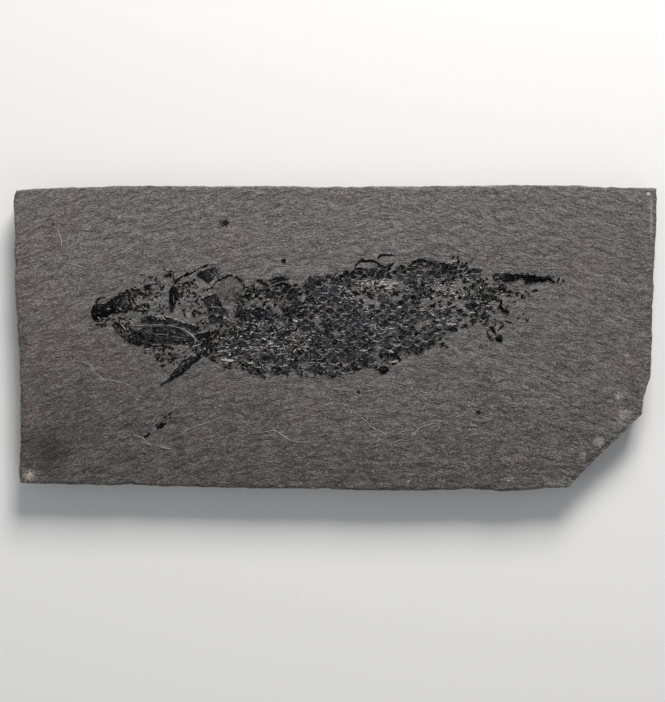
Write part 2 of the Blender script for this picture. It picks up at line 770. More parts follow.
@dataclass(frozen=True)
class BoneFinish:
    """A fossil bone or scale: dark, flecked with stone and crossed by fine light lines."""

    name: str
    body: Colour
    light: Colour
    crumbs: float
    gloss: float
    wrinkles: float
    streak: Triple = (1.4, 1.4, 1.4)
    turn: float = 0.0
    own_grain: float = 0.0
    dust: float = 0.5
    dust_grain: Triple = (1.5, 2.6, 2.0)
    specular: float = 0.035
    grain_depth: float = 0.35

    def fill(self, skin: Skin) -> None:
        """Builds the nodes.

        Args:
            skin: The material's nodes.
        """
        effects, palette = skin.effects, skin.effects.palette
        own, crumb = skin.attribute("tone"), skin.attribute("crumb")
        shift = skin.scale((0.37, 0.53, 0.29), skin.math("MULTIPLY", own, self.own_grain))
        moved = skin.vector("ADD", skin.place, shift)
        place = skin.in_mm(moved)
        fibre = skin.grain(place, Grain(self.turn, self.streak, 3.0, 0.65, 0.5))
        powder = skin.grain(place, Grain(self.turn, self.dust_grain, 3.0))
        grit = skin.math("MULTIPLY", skin.noise(moved, 2600.0, 2.0, 0.6), 0.3)
        tone = skin.math("MULTIPLY_ADD", fibre, 0.75, skin.math("MULTIPLY", own, 0.4))
        colour = skin.mix(skin.span(tone, 0.42, 0.78), self.body, self.light)
        thick = skin.math("MULTIPLY_ADD", crumb, 1.6, self.dust)
        dusty = skin.math("MULTIPLY", skin.span(powder, 0.47, 0.70), thick, clamp=True)
        colour = skin.mix(dusty, colour, palette.dust)
        stuck = skin.mask(effects.crumbs, Scale=1.7, Amount=skin.math("ADD", crumb, self.crumbs))
        stone = skin.group(effects.stone, Vector=skin.place)["Colour"]
        colour = skin.cover(colour, stuck, 0.85, skin.fade(stone, 0.3))
        lines = skin.mask(effects.wrinkles, Vector=moved, Scale=1.0, Width=0.03,
                          Amount=self.wrinkles)
        colour = skin.cover(colour, lines, 0.7, palette.edge)
        worn = skin.mask(effects.crumbs, Scale=2.3, Amount=skin.attribute("pale"))
        colour = skin.cover(colour, worn, 0.85, palette.edge)
        rough = skin.math("MULTIPLY_ADD", stuck, 0.35, grit)
        skin.finish(colour, skin.math("ADD", rough, self.gloss, clamp=True), self.specular,
                    skin.math("MULTIPLY_ADD", fibre, 0.7, grit), self.grain_depth)


@dataclass(frozen=True)
class MineralFinish:
    """Pale mineral on ridges and flecks."""

    name: str = "pale_mineral"
    low: Colour = (0.11, 0.107, 0.10)
    high: Colour = (0.50, 0.495, 0.48)
    crumbs: float = 0.3
    specular: float = 0.3
    grain_depth: float = 0.12

    def fill(self, skin: Skin) -> None:
        """Builds the nodes.

        Args:
            skin: The material's nodes.
        """
        grit = skin.noise(skin.place, 2200.0, 2.0, 0.6)
        patchy = skin.math("MULTIPLY", skin.noise(skin.place, 500.0, 2.0, 0.5), 0.6)
        tone = skin.math("MULTIPLY_ADD", skin.attribute("tone"), 0.6, patchy)
        colour = skin.mix(skin.span(tone, 0.3, 0.9), self.low, self.high)
        stuck = skin.mask(skin.effects.crumbs, Scale=2.0, Amount=self.crumbs)
        stone = skin.group(skin.effects.stone, Vector=skin.place)["Colour"]
        colour = skin.cover(colour, stuck, 0.8, stone)
        skin.finish(colour, skin.span(grit, 0.3, 0.7, 0.5, 0.85), self.specular, grit,
                    self.grain_depth)


class Paint:
    """Builds every material once, from shared groups."""

    def __init__(self, palette: Palette) -> None:
        """Makes the groups and the materials.

        Args:
            palette: The shared colours.
        """
        effects = Effects(palette)
        self.made: dict[str, bpy.types.Material] = {}
        for finish in self.finishes(palette):
            self.made[finish.name] = bpy.data.materials.new(finish.name)
            finish.fill(Skin(self.made[finish.name], effects))

    @staticmethod
    def finishes(p: Palette) -> list[StoneFinish | BoneFinish | MineralFinish]:
        """Lists the finishes.

        Args:
            p: The shared colours.

        Returns:
            All of them, each with a name of its own.
        """
        fibres = {"streak": (0.35, 1.9, 1.4), "turn": 10.0}
        return [
            StoneFinish(), MineralFinish(),
            MineralFinish("faint_mineral", p.stone_dust, p.edge, 0.34),
            MineralFinish("dull_mineral", p.dust, p.stone_light, 0.34),
            BoneFinish("black_bone", p.black, p.soot, 0.12, 0.30, 0.25, dust=0.10),
            BoneFinish("tail_black", p.black, p.soot, 0.04, 0.28, 0.2, dust=0.12),
            BoneFinish("chip_bone", p.black, p.soot, 0.16, 0.35, 0.24, dust=0.15),
            BoneFinish("speckled_bone", p.black, p.slate, 0.38, 0.40, 0.40, dust=0.35),
            BoneFinish("plate_bone", p.plum, p.slate, 0.12, 0.40, 0.35, dust=0.35),
            BoneFinish("grey_bone", p.black, p.slate, 0.22, 0.40, 0.40, **fibres, dust=0.4,
                       dust_grain=(0.6, 2.6, 2.0)),
            BoneFinish("gular_bone", p.black, p.slate, 0.12, 0.40, 0.35, **fibres, dust=0.3,
                       dust_grain=(0.5, 2.6, 2.0)),
            BoneFinish("fin_bone", p.black, p.slate, 0.18, 0.35, 0.30, (0.3, 2.0, 1.4),
                       -43.0, dust=0.4, dust_grain=(0.4, 2.6, 2.0)),
            BoneFinish("scale_bone", p.blue_black, p.enamel, 0.06, 0.32, 0.32,
                       own_grain=1.0, dust=0.44, dust_grain=(1.1, 2.4, 2.0)),
            BoneFinish("shield_bone", p.blue_black, p.enamel, 0.06, 0.32, 0.28,
                       (0.5, 1.9, 1.4), -10.0, dust=0.25),
            BoneFinish("faint_bone", p.dome, p.stone_cool, 0.5, 0.5, 0.2),
            BoneFinish("smooth_bone", p.film, p.stone_cool, 0.42, 0.5, 0.1, dust=0.75)]


# ---- Carving bones ----


@dataclass(frozen=True)
class Relief:
    """How a bone stands out of the stone, in millimetres."""

    height: float
    edge: float = 0.55
    ragged: float = 0.28
    ragged_length: float = 1.3
    grain: float = 0.09
    grain_stretch: Point = (0.9, 0.9)
    voxel: float = 0.2
    wear: float = 0.45
    lift: float = 0.03


@dataclass(frozen=True)
class Bone:
    """One bone: how it is finished and carved, where it lies and where it breaks up.

    Its line is a plate's outline, in rows of x and y, or a bar's middle, in rows of x, y
    and half width. The place where it breaks up is given by its middle and reach.
    """

    node: str
    finish: str
    slot: Slot
    relief: Relief
    line: tuple[tuple[float, ...], ...]
    broken: Triple = (0.0, 0.0, 0.0)

    PLATE_STEP = 0.4
    BAR_STEP = 0.5

    def outline(self, seed: int) -> np.ndarray:
        """Gives the bone's ragged outline.

        Args:
            seed: Which stretch of the noise is used.

        Returns:
            The closed outline.
        """
        if len(self.line[0]) == 2:
            smooth = smooth_line(self.line, self.PLATE_STEP, closed=True)
        else:
            smooth = bar_outline(self.line, self.BAR_STEP)
        return roughen(smooth, self.relief.ragged, self.relief.ragged_length, seed)


class Carver:
    """Carves bones and dresses them."""

    # A bone's small knobs and its patches, in waves a millimetre, and the knobs' share.
    KNOBS = 2.1
    KNOB_SHARE = 0.6
    PATCHES = 0.55
    # How wide the worn rim is, in millimetres, and how uneven the wear.
    WORN_RIM = 0.35
    WORN_PATCHES = 1.6
    # How far a bone breaks up at most, how fast, and how much lower it lies there.
    BROKEN, BROKEN_SLOPE, BROKEN_DROP = 0.3, 1.5, 1.2

    def __init__(self, paint: Paint) -> None:
        """Keeps the finishes.

        Args:
            paint: All the materials.
        """
        self.paint = paint
        self.pieces: list[bpy.types.Object] = []

    def dress(self, obj: bpy.types.Object, finish: str, slot: Slot, *nodes: str) -> None:
        """Gives a piece its finish and its place in the frame.

        Args:
            obj: The piece.
            finish: The material's name.
            slot: The record's slot.
            *nodes: The solids that it stands for.
        """
        obj.data.materials.clear()
        obj.data.materials.append(self.paint.made[finish])
        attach(obj, "root")
        if nodes:
            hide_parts(*nodes)
        self.pieces.append(obj)
        log.info("%s: %d faces", obj.name, len(obj.data.polygons))

    def carve(self, bone: Bone, seed: int) -> None:
        """Models one bone in low relief and dresses it.

        Args:
            bone: What to carve.
            seed: Which stretch of the noise is used.
        """
        relief, outline = bone.relief, bone.outline(seed)
        tall = THICKNESS + relief.height - ROOT
        obj = Bench.plate(bone.node + "_bone", outline, tall, relief.voxel)
        points = positions(obj.data)
        distance = edge_distance(points[:, :2], outline)
        share = np.clip((points[:, 2] - ROOT) / tall, 0.0, 1.0)
        pale, tone, crumb = np.zeros((3, len(points)))
        stretch_x, stretch_y = relief.grain_stretch
        lost_x, lost_y, reach = bone.broken
        for i, (x, y, _) in enumerate(points):
            rise = math.sin(math.pi / 2 * min(1.0, distance[i] / relief.edge))
            if reach:
                lost = max(0.0, 1.0 - math.hypot(x - lost_x, y - lost_y) / reach)
                crumb[i] = self.BROKEN * min(1.0, self.BROKEN_SLOPE * lost)
                rise *= 1.0 - self.BROKEN_DROP * crumb[i]
            rough = wave(x * stretch_x, y * stretch_y, seed)
            knobs = wave(x * self.KNOBS, y * self.KNOBS, seed + 5.0)
            patchy = wave(x * self.PATCHES, y * self.PATCHES, seed + 2.0)
            top = face_height(x, y) + relief.lift + rise * (
                relief.height + relief.grain * (rough + self.KNOB_SHARE * knobs))
            points[i, 2] = ROOT + share[i] * (top - ROOT)
            near = max(0.0, 1.0 - distance[i] / self.WORN_RIM) * share[i]
            pale[i] = clamp(relief.wear * (near * (1.0 + patchy * self.WORN_PATCHES)))
            tone[i] = 0.5 + 0.5 * patchy
        set_positions(obj.data, points)
        set_values(obj.data, pale=pale, tone=tone, crumb=crumb)
        Bench.smooth(obj)
        self.dress(obj, bone.finish, bone.slot, bone.node)


# ---- The bones of the head, trunk and tail ----

THIN = Relief(0.18, edge=0.25, ragged=0.1, ragged_length=0.9, grain=0.05, voxel=0.12, wear=0.0)
SPLINTER = Relief(0.2, edge=0.35, ragged=0.2, ragged_length=0.8, grain=0.06, voxel=0.14)

# The commonest looks: the finish and the record's slot.
BLACK = ("black_bone", Slot.BLACK)
SPECKLED_BLACK = ("speckled_bone", Slot.BLACK)
SPECKLED_GREY = ("speckled_bone", Slot.GREY)

HEAD_BONES = [
    Bone("snout", *BLACK, Relief(0.85, 2, 0.22, 1.2, 0.16), ((-70.9, 5), (-71.6, 5.6), (-72.1, 6.6),
        (-72.2, 7.8), (-72, 9), (-71.4, 9.8), (-70.2, 10.1), (-68.6, 10.3), (-67.4, 10.8), (-66, 11.3),
        (-65, 11.8), (-63.8, 12.4), (-62.4, 12.6), (-61, 12.5), (-60.2, 11.6), (-60.1, 10.2),
        (-60.6, 8.6), (-62.2, 7.6), (-64.4, 7.4), (-66.3, 7.2), (-67, 6.4), (-68, 5.9),
        (-69.4, 5.8)), broken=(-60.6, 9.6, 5.4)),
    Bone("roof_ring", *SPECKLED_GREY, Relief(0.22, 0.5, 0.35, 0.9), ((-45.3, 15.9), (-44.9, 16.8),
        (-44, 17.1), (-43.1, 16.8), (-42.8, 15.9), (-43.2, 15.1), (-44.1, 14.8), (-45, 15.1))),
    Bone("roof_plate", "plate_bone", Slot.GREY, Relief(0.34, 0.7, 0.08, 1.2, wear=0.5), ((-41.1, 18.7),
        (-39.8, 19.9), (-38, 20.7), (-36.5, 21.2), (-35.1, 20.9), (-34.8, 19.8), (-35.3, 18.5),
        (-36.3, 17.2), (-37.4, 16), (-38.4, 16.5), (-39.7, 17.4)), broken=(-34.6, 19.6, 2.4)),
    Bone("operculum", "smooth_bone", Slot.DOME, Relief(0.36, 2.6, 0.12, 2, 0.05, wear=0.1), (
        (-34.8, 13.6), (-34.6, 15.3), (-33.6, 16.7), (-32.2, 17.5), (-30.6, 17.7), (-29.2, 17),
        (-28, 15.8), (-27.5, 14.2), (-27.8, 12.7), (-28.8, 11.6), (-30.6, 11.1), (-32.6, 11.2),
        (-34, 12.1))),
    Bone("shoulder_plate_1", "plate_bone", Slot.GREY, Relief(0.36, 0.4, 0.08, 1.2, wear=0.9), (
        (-39.1, 11.4), (-39, 12.1), (-37.8, 12.6), (-36.5, 13.1), (-35, 13.4), (-34.4, 12.6),
        (-34.2, 11.4), (-33.3, 9.8), (-34.6, 9.4), (-37.8, 9.4), (-38.4, 9.7), (-39.1, 10.6))),
    Bone("shoulder_plate_2", "plate_bone", Slot.GREY, Relief(0.3, 0.35, 0.08, 1, wear=0.9), (
        (-38.1, 9.3), (-35.5, 9.3), (-33.1, 9), (-31.8, 7.8), (-31.5, 6.7), (-32.6, 6.6), (-34.6, 6.8),
        (-37.6, 6.9))),
    Bone("shoulder_plate_3", "plate_bone", Slot.BLACK, Relief(0.34, 0.4, 0.1, 1, wear=0.8), (
        (-37.7, 6.7), (-34.6, 6.7), (-32.5, 6.3), (-31.2, 5.1), (-30.7, 3.8), (-31.7, 3.2), (-33, 4.1),
        (-34.6, 4.3), (-36.9, 4.3), (-37.7, 5.3))),
    Bone("skull_fragment_1", *SPECKLED_BLACK, SPLINTER, ((-64.2, 13, 0.2), (-62.9, 13.4, 0.36),
        (-61.6, 13.5, 0.2), (-60.2, 14, 0.3), (-58.8, 14.2, 0.6), (-57.6, 13.7, 0.4),
        (-56.5, 13.1, 0.4), (-56.2, 12.1, 0.3))),
    Bone("skull_fragment_2", *BLACK, SPLINTER, ((-56.6, 15, 0.3), (-55.7, 15.4, 0.62),
        (-54.7, 15.8, 0.3), (-53.6, 16.3, 0.14))),
    Bone("skull_fragment_3", *SPECKLED_GREY, SPLINTER, ((-53.1, 17.5, 0.2), (-52.4, 16.6, 0.42),
        (-51.8, 15.6, 0.4), (-51.2, 15.3, 0.2))),
    Bone("skull_fragment_4", *SPECKLED_GREY, SPLINTER, ((-57.5, 18.9, 0.18), (-56.8, 18.8, 0.36),
        (-55.6, 18.3, 0.15), (-54.2, 18, 0.22))),
    Bone("skull_fragment_5", *BLACK, SPLINTER, ((-50.9, 18.2, 0.2), (-49.6, 18.6, 0.42),
        (-48.5, 19.1, 0.42), (-47.8, 18.6, 0.25), (-47.7, 17.4, 0.2))),
    Bone("cheek_bar", *BLACK, Relief(0.42, 0.45, 0.12, 1), ((-48.3, 7.9, 0.4), (-48.3, 9.3, 0.85),
        (-48.1, 10.8, 1.15), (-47.9, 12.4, 1.3), (-47.8, 14, 1.35), (-47.7, 15.1, 0.85))),
    Bone("cheek_fragment", *SPECKLED_GREY, SPLINTER, ((-46.6, 11.6, 0.2), (-45.7, 12.8, 0.45),
        (-45.2, 14, 0.3), (-44.4, 14.4, 0.2))),
    Bone("roof_margin", *BLACK, Relief(0.3, 0.3, 0.07, 0.9, 0.06, voxel=0.12), ((-48, 15.4, 0.29),
        (-47.3, 16.2, 0.35), (-46.9, 17.1, 0.35), (-45.7, 18, 0.35), (-44.8, 18.3, 0.32),
        (-44, 18.8, 0.52), (-43.2, 19, 0.58), (-42.4, 19.3, 0.32), (-41.6, 19.8, 0.29),
        (-40.8, 20.4, 0.32), (-40, 21, 0.29), (-39.2, 21.1, 0.26), (-38.5, 21.3, 0.29),
        (-37.5, 21.7, 0.2))),
    Bone("opercular_rim", *BLACK, Relief(0.2, 0.3, 0.06, 0.9, 0.05, voxel=0.12), ((-38.2, 14.1, 0.21),
        (-37.2, 14.8, 0.36), (-36.2, 15.1, 0.3), (-35.6, 16.1, 0.3), (-35.1, 16.8, 0.33),
        (-34.3, 17.2, 0.42), (-33.3, 17.7, 0.39), (-32.3, 18.2, 0.36), (-31.4, 18.55, 0.3),
        (-30.5, 18.5, 0.3), (-29.5, 18.2, 0.3), (-28.6, 17.7, 0.36), (-28, 17, 0.36),
        (-27.5, 16.2, 0.3), (-26.8, 15.5, 0.18))),
    Bone("cleithrum", *BLACK, Relief(0.3, 0.6, 0.35, 1.1), ((-40.9, -0.6, 0.3), (-39.6, 0.3, 0.7),
        (-38, 0.9, 1), (-36.4, 1.5, 0.75), (-35.2, 2, 0.3))),
    Bone("lower_jaw", *SPECKLED_BLACK, Relief(0.42, 0.6, 0.22, 1.2, 0.16), ((-65.5, 5.4, 0.4),
        (-64.9, 4, 0.8), (-63.9, 2.6, 0.95), (-62.6, 1.3, 0.95), (-61.2, 0.1, 0.95),
        (-59.8, -0.8, 0.95), (-58.2, -1.3, 0.7), (-56.8, -1.7, 0.3))),
    Bone("jaw_ramus", "black_bone", Slot.GREY, THIN, ((-55.8, -2.4, 0.12), (-54, -2.4, 0.22),
        (-51.6, -2.2, 0.2), (-49.8, -2.4, 0.24), (-48, -2.9, 0.14))),
    Bone("gular_upper", "gular_bone", Slot.GREY,
         Relief(0.22, 0.3, 0.06, 1.6, 0.06, (0.35, 1.6), wear=0.7), (
        (-57.6, 5.4), (-57.2, 6.4), (-55, 6.8), (-52.4, 6.6), (-50.9, 6.6), (-49.1, 6.4), (-47, 5.4),
        (-44.8, 4.8), (-42.6, 4.3), (-40.2, 3.4), (-40.4, 2.4), (-41.3, 1.6), (-42.6, 1.7),
        (-43.9, 2.3), (-46.1, 3.4), (-48.3, 3.8), (-51.3, 4), (-53.4, 4.05), (-56.9, 4.2))),
    Bone("gular_lower", "gular_bone", Slot.BLACK,
         Relief(0.2, 0.4, 0.08, 1.6, 0.07, (0.4, 1.6), wear=0.5), (
        (-57.8, 3), (-55, 3.65), (-52, 3.75), (-50, 3.7), (-47.5, 3.3), (-46, 2.8), (-44.6, 2),
        (-43, 1), (-41.6, -0.2), (-40.9, -1), (-43, -1.6), (-46, -2), (-48, -1.9), (-51, -1.6),
        (-54, -1.5), (-57.3, -1.2), (-58.5, 0), (-58.5, 1.4))),
    Bone("gular_midline", "dull_mineral", Slot.PALE,
         Relief(0.26, 0.16, 0, 0.9, 0.02, voxel=0.08, wear=0), (
        (-60.6, 3.7, 0.09), (-57, 3.75, 0.1), (-54.6, 3.9, 0.11), (-52.6, 3.9, 0.12),
        (-50.2, 3.85, 0.12), (-48.3, 3.6, 0.13), (-46.4, 3.15, 0.15), (-44.8, 2.5, 0.17),
        (-43.4, 1.6, 0.22), (-42.3, 0.8, 0.26), (-41.2, -0.2, 0.19), (-40.4, -0.9, 0.13))),
    Bone("throat_plate", "faint_bone", Slot.GREY, Relief(0.16, 1.2, 0.3, 1.6, 0.08), (
        (-53.4, -4.4, 0.4), (-51.6, -4.6, 1.2), (-49.2, -4.9, 1.6), (-47.2, -4.8, 1.1),
        (-46.2, -4.4, 0.4))),
    Bone("throat_hook", *BLACK, SPLINTER, ((-51.5, -8.3, 0.2), (-50.8, -7.9, 0.45), (-49.8, -7.8, 0.2),
        (-48.9, -7.3, 0.22))),
    Bone("pectoral_fin", "fin_bone", Slot.BLACK, Relief(0.5, 1, 0.2, 1.2, 0.14, (0.9, 0.9)), (
        (-37.9, -1.5, 0.8), (-38.8, -2.8, 1.5), (-40.3, -4.2, 1.75), (-42, -5.7, 1.65),
        (-43.6, -7.2, 1.5), (-45.2, -8.9, 1.4), (-46.8, -10.3, 1.15), (-48.2, -11.4, 0.85),
        (-49.6, -12.5, 0.5), (-50.7, -13.3, 0.36), (-51.5, -13.8, 0.18))),
]

TRUNK_BONES = [
    Bone("nape_bone", *SPECKLED_GREY, Relief(0.24, 0.6, 0.4, 0.9), ((-26.7, 13.2), (-26.5, 14.6),
        (-25.4, 15.5), (-24.2, 15), (-23.8, 13.8), (-24.4, 12.6), (-25.7, 12.2))),
    Bone("belly_cluster", *BLACK, Relief(0.3, 0.6, 0.45, 1), ((12, -9.2), (12.8, -8.3), (14.2, -8.2),
        (15.6, -8.4), (15.9, -9.2), (15, -10), (14.2, -10.9), (13.4, -10.6), (13.2, -9.8))),
    Bone("nape_arc", *BLACK, THIN, ((-23.1, 17, 0.21), (-22, 17, 0.48), (-21.1, 16.4, 0.48),
        (-20.5, 15.9, 0.3), (-19.6, 15.4, 0.14))),
    Bone("dorsal_streak_1", *BLACK, THIN, ((-19.6, 16.9, 0.17), (-18, 17.5, 0.36), (-16.6, 17.9, 0.34),
        (-15, 18.1, 0.14))),
    Bone("dorsal_streak_2", *BLACK, THIN, ((-18.8, 16.2, 0.17), (-17.1, 17, 0.28), (-15.5, 17.4, 0.34),
        (-14, 17.4, 0.17))),
    Bone("dorsal_streak_3", *BLACK, THIN, ((-18.9, 15.3, 0.16), (-17.1, 15.7, 0.29),
        (-15.5, 16.1, 0.39), (-14.4, 15.9, 0.39), (-13.3, 15.6, 0.18))),
    Bone("back_arc_1", *BLACK, THIN, ((5.7, 21, 0.21), (6.3, 21.9, 0.31), (7.1, 22.6, 0.39),
        (7.9, 23.1, 0.55), (8.8, 22.8, 0.39), (10.5, 22.9, 0.39), (12, 22.5, 0.31), (13.2, 21.6, 0.29),
        (15, 20.9, 0.21))),
    Bone("back_arc_2", *BLACK, THIN, ((12.5, 23.5, 0.21), (13.1, 24.3, 0.39), (14.3, 24.6, 0.36),
        (15.8, 24.6, 0.29), (17.6, 24.4, 0.13))),
    Bone("loose_fragment", *BLACK, SPLINTER, ((-48.2, -21.6, 0.14), (-48.8, -22.3, 0.42),
        (-49.2, -23.2, 0.07), (-49.1, -24, 0.12), (-49.3, -24.7, 0.34), (-50.1, -25, 0.16),
        (-50.8, -25.4, 0.75), (-51.6, -25.9, 0.9), (-52.2, -26.3, 0.4), (-52.9, -26.9, 0.07),
        (-53.9, -27.7, 0.1), (-54.7, -28.1, 0.4), (-55.6, -28.6, 0.5), (-56.4, -29.2, 0.3))),
]

TAIL_BONES = [
    Bone("tail_lobe", "tail_black", Slot.BLACK,
         Relief(0.55, 0.5, 0.18, 0.7, 0.5, (1.6, 1.6), voxel=0.15), (
        (46.3, 17.7), (46.5, 18.6), (47.1, 18.9), (47.9, 19.2), (48.7, 18.9), (49.9, 19.2),
        (51.1, 19.5), (52.4, 18.9), (53.4, 19.2), (54.4, 18.9), (55.6, 19), (56.9, 19.4), (57.7, 18.9),
        (58.9, 18.9), (59.7, 18.5), (60.8, 18.3), (61.2, 17.9), (61.8, 18.3), (62.6, 18), (63.6, 18.1),
        (64, 17.6), (64.6, 16.9), (65.8, 16.8), (65.8, 16.5), (64, 16.4), (62.6, 17), (61.6, 16.6),
        (59.8, 16.7), (59.1, 16.1), (58.5, 16.8), (57.5, 16.3), (56.7, 16), (55.8, 16.2), (55.8, 16.9),
        (55, 17.4), (53.6, 17.4), (52.4, 16.8), (50.7, 16.7), (49.5, 16.6), (48.7, 17.3), (47.8, 17),
        (46.9, 17.2)), broken=(47.4, 18.2, 4.4)),
    Bone("tail_chain", *BLACK, Relief(0.4, 0.5, 0.3, 0.8, 0.2, voxel=0.16), ((44.2, 12.3, 0.9),
        (45.3, 12, 1.1), (46.6, 11.9, 0.8), (47.8, 11.5, 0.6), (48.7, 10.8, 0.5), (48.7, 9.8, 0.65),
        (48.9, 8.9, 0.65), (49.9, 8.1, 0.6), (51.3, 7.4, 0.22)), broken=(46.4, 11.6, 3.4)),
    Bone("tail_bone", *BLACK, SPLINTER, ((47.8, 14.9, 0.35), (48.8, 15.2, 0.6), (49.6, 14.6, 0.6),
        (50.2, 13.8, 0.45), (51.6, 13.5, 0.2), (53, 13.5, 0.12))),
    Bone("hind_fin_knob", *BLACK, Relief(0.42, 0.7, 0.35, 0.8), ((47.1, -0.1), (47.5, 0.8), (48.4, 1),
        (49.2, 0.4), (49.3, -0.6), (48.4, -1.2), (47.5, -0.9))),
    Bone("hind_fin_root", *SPECKLED_GREY, SPLINTER, ((43.7, 4.4), (44.3, 5.3), (45.2, 5.1), (45.4, 4.2),
        (44.8, 3.5), (44, 3.7))),
    Bone("hind_fin_ray", *BLACK, SPLINTER, ((46, 3.6, 0.3), (46.5, 2.4, 0.7), (47.2, 1.2, 0.5))),
    Bone("hind_fin_crescent", "grey_bone", Slot.GREY, THIN, ((44.5, 2.4, 0.2), (44.8, 1.2, 0.42),
        (45.5, 0.2, 0.5), (46.6, -0.5, 0.3))),
    Bone("hind_fin_vee", "grey_bone", Slot.GREY, THIN, ((47.6, 5.3, 0.2), (48.6, 4.6, 0.34),
        (49.5, 3.9, 0.55), (48.6, 3.1, 0.36), (47.8, 2, 0.22))),
]

# Each set of bones, and the seed of its first bone.
BONES = ((HEAD_BONES, 1), (TRUNK_BONES, 30), (TAIL_BONES, 40))


# ---- Scales, flecks and threads ----


@dataclass(frozen=True)
class Laid:
    """One small thing laid on the stone, in millimetres and degrees."""

    x: float
    y: float
    length: float
    width: float
    turn: float
    tip: float = 0.0
    lift: float = 0.05
    tone: float = 0.0
    pale: float = 0.0


class Ground:
    """The stone, or the stone with the pieces that already lie on it."""

    # How near a place must be to a piece's upper point to lie on it, and what counts as upper.
    REACH = 0.45
    UPPER = THICKNESS - 0.1

    def __init__(self, pieces: Sequence[bpy.types.Object] = ()) -> None:
        """Notes every second upper point of the pieces.

        Args:
            pieces: What lies on the stone.
        """
        tops = [point for piece in pieces for point in positions(piece.data)[::2]
                if point[2] > self.UPPER]
        self.heights = [point[2] for point in tops]
        self.tops = Nearby(tops)

    def height(self, x: float, y: float) -> float:
        """Gives the height of what lies uppermost at a place."""
        base = face_height(x, y)
        if self.heights:
            i, distance = self.tops.find(x, y)
            if distance < self.REACH:
                return max(base, self.heights[i])
        return base


class Strewer:
    """Copies one small form many times into a single piece."""

    # The form's outline lies between an ellipse and a lozenge.
    ROUNDNESS = 1.7
    # How wide and how high its two inner steps are, as shares of its reach and height.
    SHOULDER = (0.2, 0.12)
    DISH_WIDTH = 0.16
    # Where the pale rim and the broken edge begin, and how far they reach outwards.
    RIM_FROM, RIM_REACH = 0.68, 0.28
    CRUMBLE_FROM, CRUMBLE_REACH = 0.45, 0.5
    # How fine the bends are, in waves a millimetre, and how bright the upper rims stay.
    BENDS = 0.8
    UPPER_RIM = 0.06

    def __init__(self, sides: int, dish: float, decay: float) -> None:
        """Models the form once.

        Args:
            sides: How many sides its outline has.
            dish: How far its middle sinks below its rim, as a share of its height.
            decay: How far a copy breaks up towards its rim.
        """
        self.decay = decay
        obj = Bench.disc("form", sides, 1.0)
        for vertex in obj.data.vertices:
            angle = math.atan2(vertex.co.y, vertex.co.x)
            reach = (abs(math.cos(angle)) ** self.ROUNDNESS
                     + abs(math.sin(angle)) ** self.ROUNDNESS) ** (-1 / self.ROUNDNESS)
            vertex.co.x, vertex.co.y = reach * math.cos(angle), reach * math.sin(angle)
        Bench.enter(obj)
        Bench.raise_faces(1.0)
        bpy.ops.mesh.inset(thickness=self.SHOULDER[0], depth=self.SHOULDER[1])
        bpy.ops.mesh.inset(thickness=self.DISH_WIDTH, depth=-dish)
        bpy.ops.mesh.poke()
        Bench.leave()
        self.master = obj.data
        bpy.data.objects.remove(obj)

    def strew(self, name: str, laid: list[Laid], thick: float, bend: float,
              ground: Ground) -> bpy.types.Object:
        """Lays the copies.

        Args:
            name: The piece's name.
            laid: Where each copy lies.
            thick: How thick a copy is, in millimetres.
            bend: How far each copy is bent out of shape, in millimetres.
            ground: What they lie on.

        Returns:
            The piece.
        """
        bm = bmesh.new()
        tones, pales, crumbs = (bm.verts.layers.float.new(key) for key in ("tone", "pale", "crumb"))
        for item in laid:
            first = len(bm.verts)
            bm.from_mesh(self.master)
            bm.verts.ensure_lookup_table()
            angle, tip = math.radians(item.turn), math.tan(math.radians(item.tip))
            base = ground.height(item.x, item.y)
            for vertex in bm.verts[first:]:
                radius = math.hypot(vertex.co.x, vertex.co.y)
                u, v = vertex.co.x * item.length / 2, vertex.co.y * item.width / 2
                x = item.x + u * math.cos(angle) - v * math.sin(angle)
                y = item.y + u * math.sin(angle) + v * math.cos(angle)
                drift = noise.noise_vector(
                    Vector((x * self.BENDS, y * self.BENDS, item.tone * 50.0)))
                lower = (item.y - y) / (item.width / 2)
                top = vertex.co.z > 0.5
                z = (base + item.lift + thick * (vertex.co.z - 0.5) + lower * tip
                     if top else SMALL_ROOT)
                vertex.co = Vector((x + drift.x * bend, y + drift.y * bend, z)) * MM
                rim = clamp((radius - self.RIM_FROM) / self.RIM_REACH) if top else 0.0
                below = 0.5 + 0.5 * max(-1.0, min(1.0, lower))
                vertex[tones] = item.tone
                vertex[pales] = rim * item.pale * (
                    self.UPPER_RIM + (1.0 - self.UPPER_RIM) * below**2)
                vertex[crumbs] = self.decay * clamp(
                    (radius - self.CRUMBLE_FROM) / self.CRUMBLE_REACH)
        mesh = bpy.data.meshes.new(name)
        bm.to_mesh(mesh)
        bm.free()
        obj = link(name, mesh)
        Bench.smooth(obj, 35.0)
        return obj


